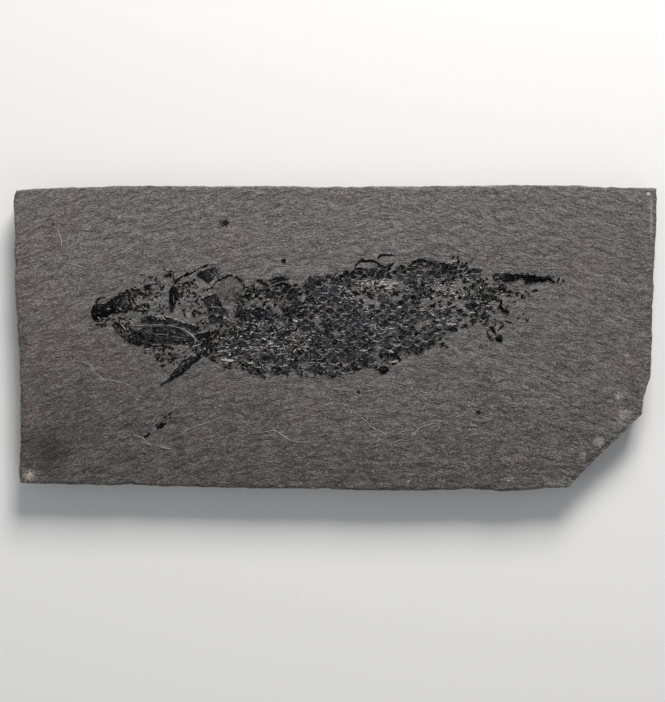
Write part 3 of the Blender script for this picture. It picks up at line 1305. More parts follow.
def lay_threads(name: str, routes: list[Thread], ground: Ground) -> bpy.types.Object:
    """Lays thin ridges along lines.

    Args:
        name: The piece's name.
        routes: Rows of points, half width and tone.
        ground: What they lie on.

    Returns:
        The piece.
    """
    curve = bpy.data.curves.new(name, "CURVE")
    curve.dimensions = "3D"
    curve.bevel_depth = MM
    curve.bevel_resolution = 1
    curve.use_fill_caps = True
    places, tones = [], []
    for points, half, tone in routes:
        line = smooth_line(points, 0.7, closed=False)
        spline = curve.splines.new("POLY")
        spline.points.add(len(line) - 1)
        for i, (x, y) in enumerate(line):
            share = i / (len(line) - 1)
            wobble = 1.0 + 0.5 * wave(x * 0.9, y * 0.9, 4.0)
            taper = 0.25 + 0.75 * math.sin(math.pi * share) ** 0.5
            spline.points[i].co = (x * MM, y * MM, ground.height(x, y) * MM, 1.0)
            spline.points[i].radius = half * wobble * taper
        places += list(line)
        tones += [tone] * len(line)
    Bench.take(link(name, curve))
    bpy.ops.object.convert(target="MESH")
    obj = bpy.context.active_object
    made, nearby = positions(obj.data), Nearby(places)
    nearest = [tones[nearby.find(x, y)[0]] for x, y, _ in made]
    set_values(obj.data, tone=nearest, pale=np.zeros(len(made)))
    Bench.smooth(obj)
    return obj


# The coats of scales: each one's outline, and the gaps where scales are lost.
COATS = {
    "flank_scales": (
        [(-36, -5.8), (-34.2, -0.8), (-33, 1.6), (-29.8, 4.2), (-29.4, 9.2), (-19.5, 9.2),
         (-17.5, 6.4), (-14.5, 6.2), (-13, 9.2), (-8.6, 10.2), (-8.6, 16.4), (-4, 17.8),
         (0.5, 17.6), (4.8, 19.8), (10, 20.6), (18, 20.6), (23.5, 22.9), (27.5, 22.8),
         (33, 21.2), (40, 20.6), (42.4, 19.6), (40.2, 16), (39, 11), (40.4, 4.2),
         (36, 1.8), (30, -0.8), (25, -3.8), (20, -4.8), (14.5, -5.6), (10.5, -7.8),
         (5, -9.2), (-3, -10.4), (-10, -9.2), (-16, -10), (-24, -10.4),
         (-30, -7.6)],
        [[(2.4, 12.2), (5.5, 16.4), (10, 17.4), (20, 17.2), (19.6, 12.6), (16.5, 10),
          (11, 9.8), (6.5, 10.8)],
         [(26.8, 11), (27.6, 16.6), (36.6, 17), (37.2, 10.4), (31, 8.4)]]),
    "dorsal_scales": (
        [(-22, 11.6), (-21, 15.2), (-15, 15.2), (-10, 14.6), (-9.8, 12.2),
         (-15, 11.4)], []),
    "peduncle_scales": (
        [(40.4, 4.4), (39.8, 11), (40.8, 17.6), (43.4, 18), (45.8, 15), (45.4, 6)], []),
}


@dataclass(frozen=True)
class Coat:
    """A coat of scales, in millimetres."""

    name: str
    length: float = 3.35
    width: float = 2.3
    keep: float = 0.94
    drift: float = 0.26
    seed: int = 5
    keep_in_gap: float = 0.16
    cells: range = range(-40, 40)

    # Where the scales are crushed, and where they grow smaller to the tail, along the fish.
    CRUSHED_BEFORE, CRUSHED_REACH = 2.0, 14.0
    TAPER_FROM, TAPER_REACH, TAPER = 14.0, 24.0, 0.22

    def scales(self) -> list[Laid]:
        """Lays the scales on the lattice, out of line and partly lost."""
        outline, gaps = COATS[self.name]
        chance = random.Random(self.seed)
        made = []
        for i, j in ((i, j) for i in self.cells for j in self.cells):
            middle = ROW * (i + 0.5) + COLUMN * (j + 0.5)
            middle.x += chance.uniform(-self.drift, self.drift)
            middle.y += chance.uniform(-self.drift, self.drift)
            crushed = clamp((self.CRUSHED_BEFORE - middle.x) / self.CRUSHED_REACH)
            size = chance.uniform(0.78 - 0.14 * crushed, 1.2)
            turn = chance.gauss(4.0, 8.0 + 16.0 * crushed)
            tip = chance.gauss(5.0, 3.5)
            draws = [chance.random() for _ in range(4)]
            lost = any(inside(middle.x, middle.y, gap) for gap in gaps)
            if (not inside(middle.x, middle.y, outline)
                    or draws[0] > (self.keep_in_gap if lost else self.keep)):
                continue
            taper = 1.0 - self.TAPER * clamp((middle.x - self.TAPER_FROM) / self.TAPER_REACH)
            made.append(Laid(
                middle.x, middle.y, self.length * size * taper,
                self.width * size * taper * chance.uniform(0.85, 1.1), turn, tip,
                0.02 + 0.09 * draws[1], draws[2], 0.25 + 0.75 * draws[3] ** 1.5))
        return made


@dataclass(frozen=True)
class Zone:
    """An ellipse where small flecks lie, in millimetres."""

    x: float
    y: float
    reach_x: float
    reach_y: float
    count: int
    high: float = 1.1
    stretch: float = 1.8
    low: float = 0.35
    turn: float = 10.0

    def flecks(self, chance: random.Random) -> list[Laid]:
        """Lays the flecks of this zone.

        Args:
            chance: Where the draws come from.

        Returns:
            The flecks.
        """
        made = []
        for _ in range(self.count):
            radius = math.sqrt(chance.random())
            angle = chance.uniform(0.0, 2.0 * math.pi)
            size = self.low + (self.high - self.low) * chance.random() ** 2
            made.append(Laid(
                self.x + self.reach_x * radius * math.cos(angle),
                self.y + self.reach_y * radius * math.sin(angle),
                size * self.stretch, size, self.turn + chance.gauss(0.0, 35.0), 0.0,
                chance.uniform(0.0, 0.05), chance.random(), 0.4 * chance.random()))
        return made


DARK_ZONES = [
    Zone(-68.6, 4.4, 1.9, 1, 8, 0.7), Zone(-58.6, 13.4, 4.2, 1.7, 20, 0.8),
    Zone(-54, 15.6, 3.6, 2.4, 16, 0.8), Zone(-57.4, 8.6, 2.6, 1.2, 10, 1.1, 2.6),
    Zone(-44, 14.4, 2.8, 2.8, 20, 0.8), Zone(-42, 9.8, 3.6, 3.4, 22, 0.8),
    Zone(-53, 10.4, 3.4, 2.8, 14, 0.7), Zone(-62.8, 3.6, 2, 2.4, 24, 0.9),
    Zone(-59.4, 1.2, 2.2, 1.8, 14), Zone(-51, -4.6, 4.6, 2.2, 26, 0.8),
    Zone(-44, -6.6, 4.6, 3.2, 12, 0.8), Zone(-39.6, -1.2, 3.4, 2.6, 36),
    Zone(-36.4, -3.6, 2.4, 2.8, 30), Zone(-36, 6.4, 4, 4.2, 10, 0.6), Zone(-32, 1.8, 3.6, 3.2, 44),
    Zone(-39.6, 4, 1.6, 2.4, 14, 0.7), Zone(-25, 8.6, 6.4, 2.8, 44), Zone(-25.4, 13.4, 2.4, 2.2, 16),
    Zone(-15.6, 13.2, 6.4, 2.2, 46), Zone(-12, 8, 4, 3, 26), Zone(-29, -8, 5, 1, 12, 0.7),
    Zone(-4, -10.2, 14, 1, 26, 0.8), Zone(16, -6.6, 3.6, 2.2, 16), Zone(27, -2.2, 8, 1.2, 18, 0.8),
    Zone(11, 14.4, 8, 2.6, 34), Zone(32, 13, 5.2, 3.6, 40), Zone(0, 17.4, 8, 1.4, 20),
    Zone(14, 20.4, 9, 1.2, 22), Zone(33, 21.2, 7, 1.6, 28), Zone(42.4, 11.6, 3.6, 6.4, 80),
    Zone(48.4, 14.8, 2.6, 1.6, 24), Zone(54, 12.6, 4.4, 2.2, 10, 0.6),
    Zone(47.2, 2.4, 2.4, 2.8, 14, 0.7), Zone(56, 17.6, 9, 1.6, 16, 0.6), Zone(-50, -24, 4, 3, 8, 0.7),
    Zone(37, 23, 4, 1.2, 8, 0.6),
]

PALE_ZONES = [
    Zone(-53, 10.6, 3.4, 2.6, 14, 0.3, 3, 0.12), Zone(-62, 8.4, 2.6, 2.2, 14, 0.3, 2.4, 0.12),
    Zone(-60.6, 3.2, 3.4, 2.6, 18, 0.3, 2.6, 0.12), Zone(-43, 12.4, 3.6, 5, 28, 0.32, 3, 0.12),
    Zone(-36, 6, 5, 5, 18, 0.26, 3.4, 0.1), Zone(-22, 10.6, 8, 3.4, 34, 0.32, 3.4, 0.12),
    Zone(-20, -1, 14, 7, 190, 0.36, 4, 0.12, 0), Zone(2, 3, 14, 10, 90, 0.34, 4, 0.12, 4),
    Zone(22, 8, 16, 9, 110, 0.34, 3.6, 0.12, 4), Zone(38, 12, 7, 7, 70, 0.34, 3, 0.12),
    Zone(50, 15.2, 4, 1.8, 16, 0.28, 1.8, 0.12), Zone(-30, -5, 6, 3, 34, 0.36, 3.4, 0.12),
    Zone(-42, -4, 5, 4, 20, 0.3, 2.8, 0.12), Zone(-51, -4.4, 5, 2.4, 16, 0.28, 2.6, 0.12),
    Zone(11, 15.8, 7, 1.7, 60, 0.38, 5, 0.14, 0), Zone(32, 13.6, 4.4, 3, 26, 0.36, 3.4, 0.14, 0),
]

# Dark chips of bone: x, y, length, width, turn and, where it is paler than black, tone.
HEAD_CHIPS = [
    (-70.4, 11.3, 1.8, 0.5, 62), (-69.2, 12, 1.7, 0.45, 5), (-59.4, 14.2, 1.5, 0.6, -32),
    (-58, 14.2, 1.3, 1.1, 70), (-57.5, 13.4, 2.1, 0.6, -6), (-56, 14.5, 1.2, 0.9, 20, 0.4),
    (-55, 15, 1.8, 0.8, 42), (-52.4, 13.4, 1.8, 0.3, 8), (-49.4, 18.4, 2.6, 0.8, 4),
    (-47.7, 17.5, 2, 0.4, 88), (-50.6, 20.1, 1.5, 0.2, -5), (-54.1, 18, 0.8, 0.6, 0, 0.8),
    (-63, 17, 0.9, 0.45, 40, 0.9), (-56.4, 16.8, 1.2, 0.5, 80, 0.9), (-65.7, 14.4, 1.4, 0.35, 5, 0.9),
    (-56.3, 9.6, 2.5, 0.5, -28), (-57.4, 8.1, 3.2, 0.6, -2), (-56, 7.9, 1.5, 0.7, 10),
    (-62, 8, 1.8, 0.8, 10), (-59.4, 10.6, 1.5, 0.5, -40), (-59.9, 11.6, 1.7, 0.6, -50),
    (-61, 11.2, 1.4, 0.7, -30, 0.5), (-65, 7.8, 1.5, 0.6, 5), (-63.8, 12.1, 4.4, 1.1, 14),
    (-61.3, 12.5, 1.8, 0.9, 10), (-65.8, 11.3, 2.6, 0.9, 22), (-61.2, 8.9, 2.4, 1.2, 10, 0.9),
    (-60.6, 10, 1.8, 1, -20, 0.9), (-63.3, 6, 1.9, 0.5, -12), (-64.6, 4.3, 1.4, 0.8, 30),
    (-64.2, 3, 1.3, 0.7, -10), (-59.2, 1.9, 1.6, 0.55, -38), (-57.6, 1.7, 2.6, 0.6, -12),
    (-57, 0.4, 1.5, 0.7, -42), (-60.2, -0.4, 2, 1.1, 10), (-59, -1, 2.4, 1, 0),
    (-57.6, -1.4, 1.8, 0.7, 0), (-60.9, 0.3, 1.4, 0.9, -60), (-62.2, 1.4, 1.6, 0.35, -48),
    (-63.2, 1.9, 1.4, 0.35, -50), (-43.1, 15.6, 1.3, 0.8, -30), (-41.8, 17.1, 1.2, 0.9, 20),
    (-40.9, 15.5, 1.7, 0.6, -60), (-46.1, 15.1, 1.6, 0.6, 5), (-46.6, 11.4, 1.7, 0.6, -5),
    (-46, 10.2, 1.2, 0.5, 0, 0.6), (-44.4, 6.9, 1.7, 0.45, -52, 0.4), (-40.6, 7.6, 1.5, 0.7, 0),
    (-39.4, 7.3, 3, 0.55, 2), (-46.6, 12.9, 1.7, 0.6, 85, 0.4), (-40.8, 11.2, 1.6, 0.5, 70),
    (-50.6, 9.4, 0.7, 0.35, 0, 0.4), (-53.3, 10.2, 1, 0.45, 60, 0.8), (-46.4, 17.2, 1.1, 0.8, 30, 0.6),
    (-48.2, 9, 1.6, 0.9, 80, 0.8), (-43.6, 19, 1.3, 0.8, 20), (-35, 10.2, 1.2, 1, 70),
    (-34.8, 11.4, 1.6, 0.6, -65), (-37.3, 12.4, 3.2, 0.4, 18), (-37, 8.4, 1.8, 0.7, -14),
    (-33, 8.7, 2, 0.7, -28), (-31.9, 7.2, 1.8, 0.6, -70), (-36.6, 6.4, 1.8, 0.8, 0),
    (-34, 6.2, 2, 0.9, 0), (-31.7, 4.4, 1.9, 1.6, 70), (-33.8, 3.6, 1.6, 0.6, -20),
    (-28.9, 5, 1.5, 0.45, -70), (-29.8, 4.4, 1.5, 0.45, -60), (-28.8, 3.7, 1.4, 0.7, -80, 0.4),
    (-31.2, 2.2, 1.5, 0.9, 0), (-29.6, 2, 1.3, 0.8, 0), (-37.6, 4.3, 1.4, 0.35, -20),
    (-29.6, 12.5, 0.8, 0.4, 60, 0.6), (-28.1, 12.4, 0.8, 0.4, 100, 0.6), (-28.8, 11.6, 1, 0.4, 0, 0.6),
    (-70.4, 10.7, 1.5, 0.6, 75), (-39.9, 19, 2.2, 0.8, 35), (-38.6, 18.1, 1.6, 1, 30),
    (-36.4, 19.9, 1.8, 0.5, 60), (-65.5, 3.7, 1.4, 0.4, -55), (-64.6, 2.4, 1.7, 0.4, -50),
    (-63.2, 0.8, 1.7, 0.4, -42), (-60.9, -1, 1.4, 0.5, -30), (-59.5, -1.7, 1.7, 0.5, -12),
    (-58, -1.9, 1.7, 0.5, 0), (-55.4, 5.6, 1.7, 0.7, 5), (-53.4, 5.6, 1.9, 0.5, 0),
    (-49.8, 5.2, 2.4, 0.5, -4), (-47.2, 4.9, 2.2, 0.5, -18), (-44.6, 4.1, 2.4, 0.5, -14),
    (-42.2, 3.4, 1.9, 0.5, -12), (-53, 3.2, 4.4, 0.35, 0), (-48.6, 3.1, 3, 0.35, -6),
    (-46, 2.3, 2.2, 0.4, -26), (-44, 1.2, 2, 0.4, -38), (-56.6, 0, 2.2, 0.6, -10),
    (-54, -0.6, 3.2, 0.8, 0), (-50.6, -0.7, 3.6, 0.9, 0), (-47.2, -1, 2.8, 0.8, -4),
    (-44.6, -1, 2.2, 0.7, 0), (-52.2, 1.9, 2.6, 0.5, -4), (-48.6, 1.6, 2.8, 0.5, -4),
    (-45.6, 0.9, 2, 0.5, -14),
]

THROAT_CHIPS = [
    (-55.3, -1.6, 2.8, 0.5, 0), (-55.2, -2.2, 3, 0.65, 0), (-55.5, -2.8, 2.2, 0.45, 0),
    (-56.2, -4.1, 1.4, 0.4, -35), (-52.8, -4.7, 1.4, 0.5, -8), (-47.3, -4.7, 1.4, 0.3, 0, 0.6),
    (-41.2, -3, 1.5, 0.7, 40), (-40.4, -4.5, 2, 1, 20), (-39, -4, 1.8, 1, 60),
    (-38, -3.2, 1.4, 0.9, 70), (-38.8, -1.8, 1.8, 0.8, 30), (-37.4, -1, 1.6, 0.8, 50),
    (-36.4, -0.2, 1.8, 1, 50), (-35.4, 0.6, 1.4, 0.7, 60), (-36.6, -2.4, 1.4, 0.8, 60),
    (-35.6, -1.6, 1.4, 0.7, 40), (-36.4, -6.2, 2.7, 0.9, -22, 0.5), (-40.4, -1.4, 1.4, 0.6, 20),
    (-44.3, -8.1, 1.8, 0.45, 35), (-42.6, -7.2, 2.2, 0.45, 30), (-41.2, -6.3, 1.8, 0.45, 35),
    (-46.2, -10, 2.6, 1.3, 45), (-45.2, -9.2, 1.6, 1, 40), (-50.8, -13.2, 1.8, 0.5, 40),
    (-48.6, -11.9, 2, 0.4, 42), (-44, -6.9, 1.6, 0.35, 45), (-47.6, -10.4, 1.6, 0.3, 42),
]

TRUNK_CHIPS = [
    (-8.3, 13.8, 1.4, 1.3, 0, 0.8), (-0.2, 18.6, 3.2, 0.34, 42), (-26.6, -8.4, 5.6, 0.5, -42),
    (-22.2, -10.2, 4.4, 0.8, -48), (-26.1, 15.1, 1.4, 0.5, 8), (-26, 14, 1.2, 0.9, 60, 0.4),
    (-25.5, 12.6, 1.6, 1.1, 80), (-25.6, 11.4, 1.2, 0.8, 20, 0.4), (-22.3, 13.9, 1.5, 0.9, 75),
    (-21.8, 16.9, 2.3, 0.8, -10), (-21.1, 16.2, 1.6, 0.7, -45), (-14.9, 14.3, 1.7, 0.9, 0),
    (-18.8, 12.7, 2.6, 0.7, 15), (-17, 13.5, 1.5, 0.7, 10), (-10.4, 13.4, 1.9, 1.1, 0),
    (-12.4, 12.6, 1.7, 0.9, 10, 0.3), (-13.2, 11.6, 1.5, 0.8, 0, 0.3), (-12, 15.8, 1.5, 0.7, 30, 0.3),
    (-20.7, 10.6, 1.2, 0.9, 20), (-22.1, 11.8, 1.5, 1.1, 0, 0.9), (-9.2, 10.4, 2.5, 0.5, 18),
    (-24, 9.5, 1.7, 0.5, 5), (-28.6, 8.8, 1.5, 0.7, -10, 0.6), (-28.6, 6.6, 2.7, 1.3, 0, 0.3),
    (-23, 8.8, 2.3, 0.9, 10, 0.3), (-21.4, 8.5, 1.3, 1, 50), (-20, 7.2, 1.5, 0.7, 0, 0.5),
    (-27.4, 5.6, 1.9, 0.7, 0, 0.3), (-24.4, 6, 2.3, 0.6, 10), (-14.8, 7.6, 2.7, 0.6, -52),
    (-14.1, 6.9, 2.7, 0.5, -55), (-10.6, 8.8, 1.9, 1.2, 0), (-10.4, 6.9, 1.7, 1, 0),
    (-13.6, 5.4, 2.1, 0.45, -45), (-12.9, 5.1, 1.7, 0.45, -42), (-9.4, 9, 1.5, 0.8, 0),
    (-25, 3.2, 2.1, 0.8, 10), (-26.2, 2.4, 2.3, 0.8, 0, 0.4), (-28.4, 2.2, 1.4, 1.3, 0, 0.5),
    (-23.4, 3, 1.4, 0.7, 0), (-33.9, -5, 1.5, 0.5, 30), (-29.4, -6.2, 1.5, 0.6, -20),
    (-15, -10.2, 2.7, 0.6, -10), (-17.6, -10, 1.5, 0.9, 20), (-21.6, -8.8, 1.5, 0.9, 10),
    (-8, 15.1, 1.7, 1.7, 30, 0.4), (-5.4, 16.3, 2.3, 1.3, 48, 0.2), (0.8, 17.3, 2.5, 0.7, 0),
    (1.7, 16.9, 1.5, 0.6, 0), (4, 18.6, 1.6, 1.5, 0), (5.2, 19.4, 1.8, 1.3, 0, 0.3),
    (7, 20.5, 3.3, 0.8, 5), (8.8, 20.4, 1.8, 0.7, 0), (16.9, 21.9, 2.1, 0.5, 42),
    (8.6, 18.6, 1.7, 1.3, 0), (10.8, 18.8, 1.7, 1.3, 0), (15.6, 19.2, 2.7, 0.9, 0),
    (13.6, 17, 2, 0.25, 0), (14, 16.35, 2.6, 0.28, 0), (14.2, 15.9, 2.6, 0.3, 0),
    (13.2, 15.3, 3, 0.28, 5), (-3.9, 12, 1.5, 0.6, -8), (-1.6, 11.2, 2.1, 0.5, -8),
    (2.8, 8.9, 1.3, 1, -30), (-5.6, 10.5, 1.7, 1.3, 0, 0.5), (6, 13.4, 2.8, 1, -25),
    (4.4, 12.5, 3.1, 0.8, -10), (7.6, 10.9, 2.2, 1.5, -40, 0.6), (10.2, 13.6, 2.3, 1, 20),
    (9.6, 12.9, 2.5, 0.7, 0, 0.3), (17.2, 13.1, 2.5, 0.9, 25), (10.6, 6, 2.2, 1.6, 0),
    (-2, 3.8, 1.8, 1.5, 0), (-3, 1.8, 2, 1, 0, 0.5), (-5.3, 1.7, 2, 0.7, 20), (12.6, 8, 1.8, 0.9, 0),
    (10.6, -3.4, 2.6, 0.6, 28), (16.8, -5, 3.3, 1, -14), (5.8, -9, 4.5, 1.1, 4),
    (1.2, -10.4, 2.1, 0.4, -10), (10.2, -8.3, 1.6, 0.9, 20), (12, -8.6, 1.6, 0.9, -20),
    (14.4, -8.7, 2.9, 1.1, -5), (13.4, -9.8, 1.7, 1.4, 80),
]

REAR_CHIPS = [
    (23.2, 22.6, 2.2, 0.9, 28), (24.8, 23, 2.4, 1.1, 5), (26.6, 22.8, 2.2, 0.8, -18),
    (28.2, 22.3, 1.8, 0.5, -12), (31, 22.1, 1.7, 0.5, 12), (19, 20.7, 2, 0.6, 10),
    (29, 20, 1.8, 1.5, 20, 0.2), (32.6, 20.4, 2.5, 1.5, 0), (30.6, 19.3, 2, 0.7, 0),
    (33.6, 17.4, 3.3, 1.2, 10), (34.6, 17.9, 1.8, 1.1, 0), (32, 16.8, 2.2, 0.6, -5),
    (36.4, 20, 2.3, 1.3, 0), (37.4, 21.2, 1.6, 0.9, 0), (34.8, 21.8, 2, 0.6, 30),
    (38.3, 18.6, 1.2, 1, 80), (40.6, 20.1, 2.7, 1.1, 10), (39.6, 19.6, 1.4, 0.9, 0),
    (27, 18.8, 2.5, 0.8, 10), (22.8, 16.4, 3, 0.7, 8), (21.2, 16.1, 1.5, 0.7, 0),
    (26, 16.9, 1.7, 0.45, 30), (24.4, 14.8, 2.9, 0.8, -8), (29, 14, 1.4, 1, 20, 0.3),
    (28, 16.2, 2.1, 0.5, -20), (27, 15.5, 1.5, 0.45, 0), (20.4, 12.3, 1.8, 1.1, -20),
    (25.4, 12.6, 2.3, 1.3, 10, 0.4), (28.2, 12, 1.6, 1, -45), (23, 12, 2.6, 1.7, 85, 0.2),
    (24.2, 10.6, 1.4, 1.1, 0), (19.4, 10.9, 2.1, 1.1, 0), (18.8, 10.2, 2.3, 0.8, 10),
    (16.4, 9.8, 2.3, 0.8, 15), (16, 8.3, 1.7, 0.8, 0), (28.6, 9.5, 2.1, 1.3, 0), (31, 9.3, 1.5, 0.8, 0),
    (33.7, 10.1, 1.7, 1.3, 0), (30.8, 7.2, 1.9, 0.9, 15), (33.2, 7.1, 1.5, 0.7, 0),
    (35.4, 8.8, 1.6, 0.7, -20), (36.7, 8.2, 2.1, 1.2, 0, 0.5), (30.5, 2.6, 1.9, 0.8, 0),
    (34.5, 2.7, 3.2, 1.5, -8), (37.6, 3.3, 1.8, 0.7, 10), (38.6, 4, 1.3, 0.8, -40),
    (23.8, 1.2, 1.5, 0.9, 70), (33, 0, 1.7, 0.3, 10), (24, -3, 2.5, 0.7, -30),
    (22.4, -2.8, 1.7, 0.6, -30), (26.8, -2.2, 1.5, 0.4, -10), (23.8, -4.1, 1.5, 0.4, -25),
    (38.6, 11.4, 1.4, 1.1, 80), (40.4, 11.7, 2.5, 0.7, 0), (41, 7, 2.3, 0.5, 0),
    (40.4, 9.6, 2.8, 2, 0, 0.2), (38.8, 9.6, 1.8, 1.4, 0, 0.3), (42.4, 10, 1.6, 1.3, 20),
    (42.8, 13.6, 1.4, 1.1, -40), (43.5, 13.1, 1.1, 0.9, 0), (42.4, 17, 1.2, 0.8, 0, 0.3),
    (38, 15, 1.4, 0.5, 30), (43.6, 11.4, 1.6, 0.9, 0, 0.4),
]

TAIL_CHIPS = [
    (49.2, 15.6, 1.9, 1.2, 0, 0.3), (48.6, 15.2, 1.4, 0.7, 0), (48.6, 14.3, 1.7, 0.6, 0),
    (48.8, 13.5, 1.3, 0.7, 0, 0.3), (53.8, 13.4, 1.6, 0.6, 20), (55, 12.3, 1.4, 1, 70),
    (55.5, 7.2, 0.8, 0.5, -20, 0.8), (44.3, 4.8, 1.5, 0.8, 62), (58.8, 14.1, 2, 0.6, 10, 1),
    (51, 4.8, 2.4, 0.8, -10, 1), (45, 11.9, 2.2, 1.4, 80), (44.5, 11, 1.5, 1, 0),
    (46.8, 12, 2.4, 1.1, 5), (48.8, 10.8, 2, 0.8, 85), (48.4, 9.1, 1.6, 1.3, 0),
    (50.1, 8, 2.7, 1.1, -22), (46, 12.9, 1.4, 0.7, -20), (43.6, 12.2, 1.2, 0.8, 60),
    (52.2, 12.4, 0.7, 0.3, 0, 0.7), (50.8, 9.6, 0.8, 0.4, 0, 0.7), (53.2, 7.8, 0.6, 0.3, 0, 0.8),
]

# Large loose plates on the trunk, in the same form.
TRUNK_PLATES = [
    (-27, 7.4, 5.6, 2.6, -4, 0.5), (-22.6, 7.2, 5.2, 2, -13, 0.4), (-19.9, 5.7, 2.8, 0.9, -14, 0.3),
    (-26, 5.4, 3.6, 1, 10, 0.6), (-14.2, 7.6, 4.6, 1.2, -50, 0.2), (-13, 8.2, 4.4, 1.1, -46, 0.5),
    (-11.6, 8.6, 3.4, 1.2, -42, 0.3), (-7.2, 14.6, 4.2, 1.5, 50, 0.6), (-4.2, 16.9, 4, 1.5, 22, 0.5),
    (-31.4, -4.5, 4.2, 1.4, 8, 0.8), (-28.8, -4.3, 3, 1.5, 0, 0.7), (-5.6, -9, 2.8, 2.3, 0, 0.6),
    (-15.6, 13.8, 3, 1.2, 8, 0.3), (-12.4, 13.8, 2.8, 1.6, 8, 0.2), (3, 19, 2.1, 1.8, 30, 0.3),
    (13.2, 19.4, 2.7, 1.5, 5, 0.4), (8.6, -6.2, 2.2, 1.9, 0, 0.5), (-25.2, 0.6, 4.4, 1.8, -6, 0.6),
    (-14.4, 1.6, 4, 1.6, 14, 0.5), (-19.6, -5.6, 4, 1.4, -4, 0.5), (-12.4, -6.4, 3, 1.4, 6, 0.4),
    (-27.6, -1.6, 3.4, 1.3, 4, 0.4),
]

# Where single crumbs of bone lie.
CRUMBS = [
    (-63.9, 13), (-62.6, 13.3), (-60.1, 14.6), (-56.2, 13.2), (-56.4, 12.1), (-56.3, 12.7),
    (-55.7, 15.4), (-54.5, 13.3), (-57.2, 18.8), (-48.5, 17.9), (-47.9, 19.4), (-57, 7.2), (-61.4, 9.4),
    (-58.6, 9.6), (-58.6, 12.4), (-59.3, 12.8), (-64, 7.6), (-70, 5.2), (-69.2, 5), (-69.6, 4.2),
    (-68.9, 3.5), (-68, 4.4), (-67.8, 3.7), (-70.3, 3.9), (-68.7, 5.6), (-66.7, 5.7), (-62, 3.5),
    (-61.7, 4.5), (-58.7, 0.8), (-61.2, 1.7), (-62.9, 2.9), (-44.9, 15.8), (-44.3, 16.4), (-43.6, 16.3),
    (-44, 15.2), (-37.8, 14.2), (-43.7, 13.3), (-43.6, 12.6), (-42.1, 13.6), (-44.8, 8.1), (-41.3, 6.5),
    (-49.8, 9), (-54, 11.5), (-52.9, 7), (-29, 13.2), (-50.6, -2.4), (-48, -3.1), (-46.3, -3.5),
    (-51.2, -4.8), (-50.6, -6.3), (-52.5, -6), (-48.1, -5), (-48.3, -6.1), (-47.3, -5.7), (-53.7, -3.8),
    (-49.1, -4.4), (-46, -0.9), (-42.2, -3.6), (-42.8, -4.9), (-26.2, 12.4), (-17.7, 10), (-15.3, 10.1),
    (-18.1, 9.6), (-21, -11.5), (-14.1, -10.6), (-24.9, -10.2), (7.8, 23.2), (-4.1, 14), (7.3, 14.3),
    (16, 13.4), (42, 19.8), (25.6, 14.5), (38.2, 16.9), (42.4, 5), (40.4, 4.1), (46.9, 17.7),
    (67.3, 16.7), (65.8, 17.5), (67.2, 17.3), (48.2, 13), (51, 13.8), (51.6, 13.3), (55.8, 12),
    (53.2, 10.5), (53.8, 5.9), (56.3, 5.6), (44.6, 17.6), (44.4, 8.7), (46.8, 7.3), (47, 5.6),
    (44.9, 5.7), (43.6, 4.1), (43, 4.9), (46.9, 1.5), (49, -0.6), (47.4, -0.6), (-61.8, 13.5),
    (-60.9, 13.3), (-52.9, 17.2), (-51.9, 15.6), (-48.9, 19.6), (-60.2, 8.6), (-63.6, 9.6),
    (-67.5, 5.3), (-65.4, 5.4), (-63.6, 3.7), (-60.7, 5.3), (-60.4, 2.8), (-38.8, 14.2), (-44.9, 14.7),
    (-41.5, 12.2), (-40.2, 10), (-39.6, 9.2), (-41.4, 10.8), (-40, 12.3), (-51, 7.3), (-34, 9.9),
    (-32, 1.6), (-34.9, 2.2), (-69.9, 11.5), (-68.2, 12.15), (-62, -0.2), (-56.9, 5), (-51, -2),
    (-49, -2.7), (-52.1, -5.4), (-37.6, -4.8), (-44, -5.9), (-45, -6.9), (-35, -7.1), (-24.9, 13.9),
    (-24.6, 11.9), (-20.3, 15.6), (-18.8, 17.2), (-11.6, 11.8), (-25.7, 5), (-31.2, -8), (12.2, 13.9),
    (33.8, 6.3), (31, -0.2), (29, -1.4), (43.2, 14.6), (40.6, 14.6), (42.6, 8.8), (46.6, 18.7),
    (47.4, 19.1), (47.5, 17.2), (49.9, 13.9), (56.1, 13.9), (56.5, 5), (44.2, 16.2), (43, 17.4),
    (44.8, 10.4), (46.6, 8), (47.6, 10.9),
]

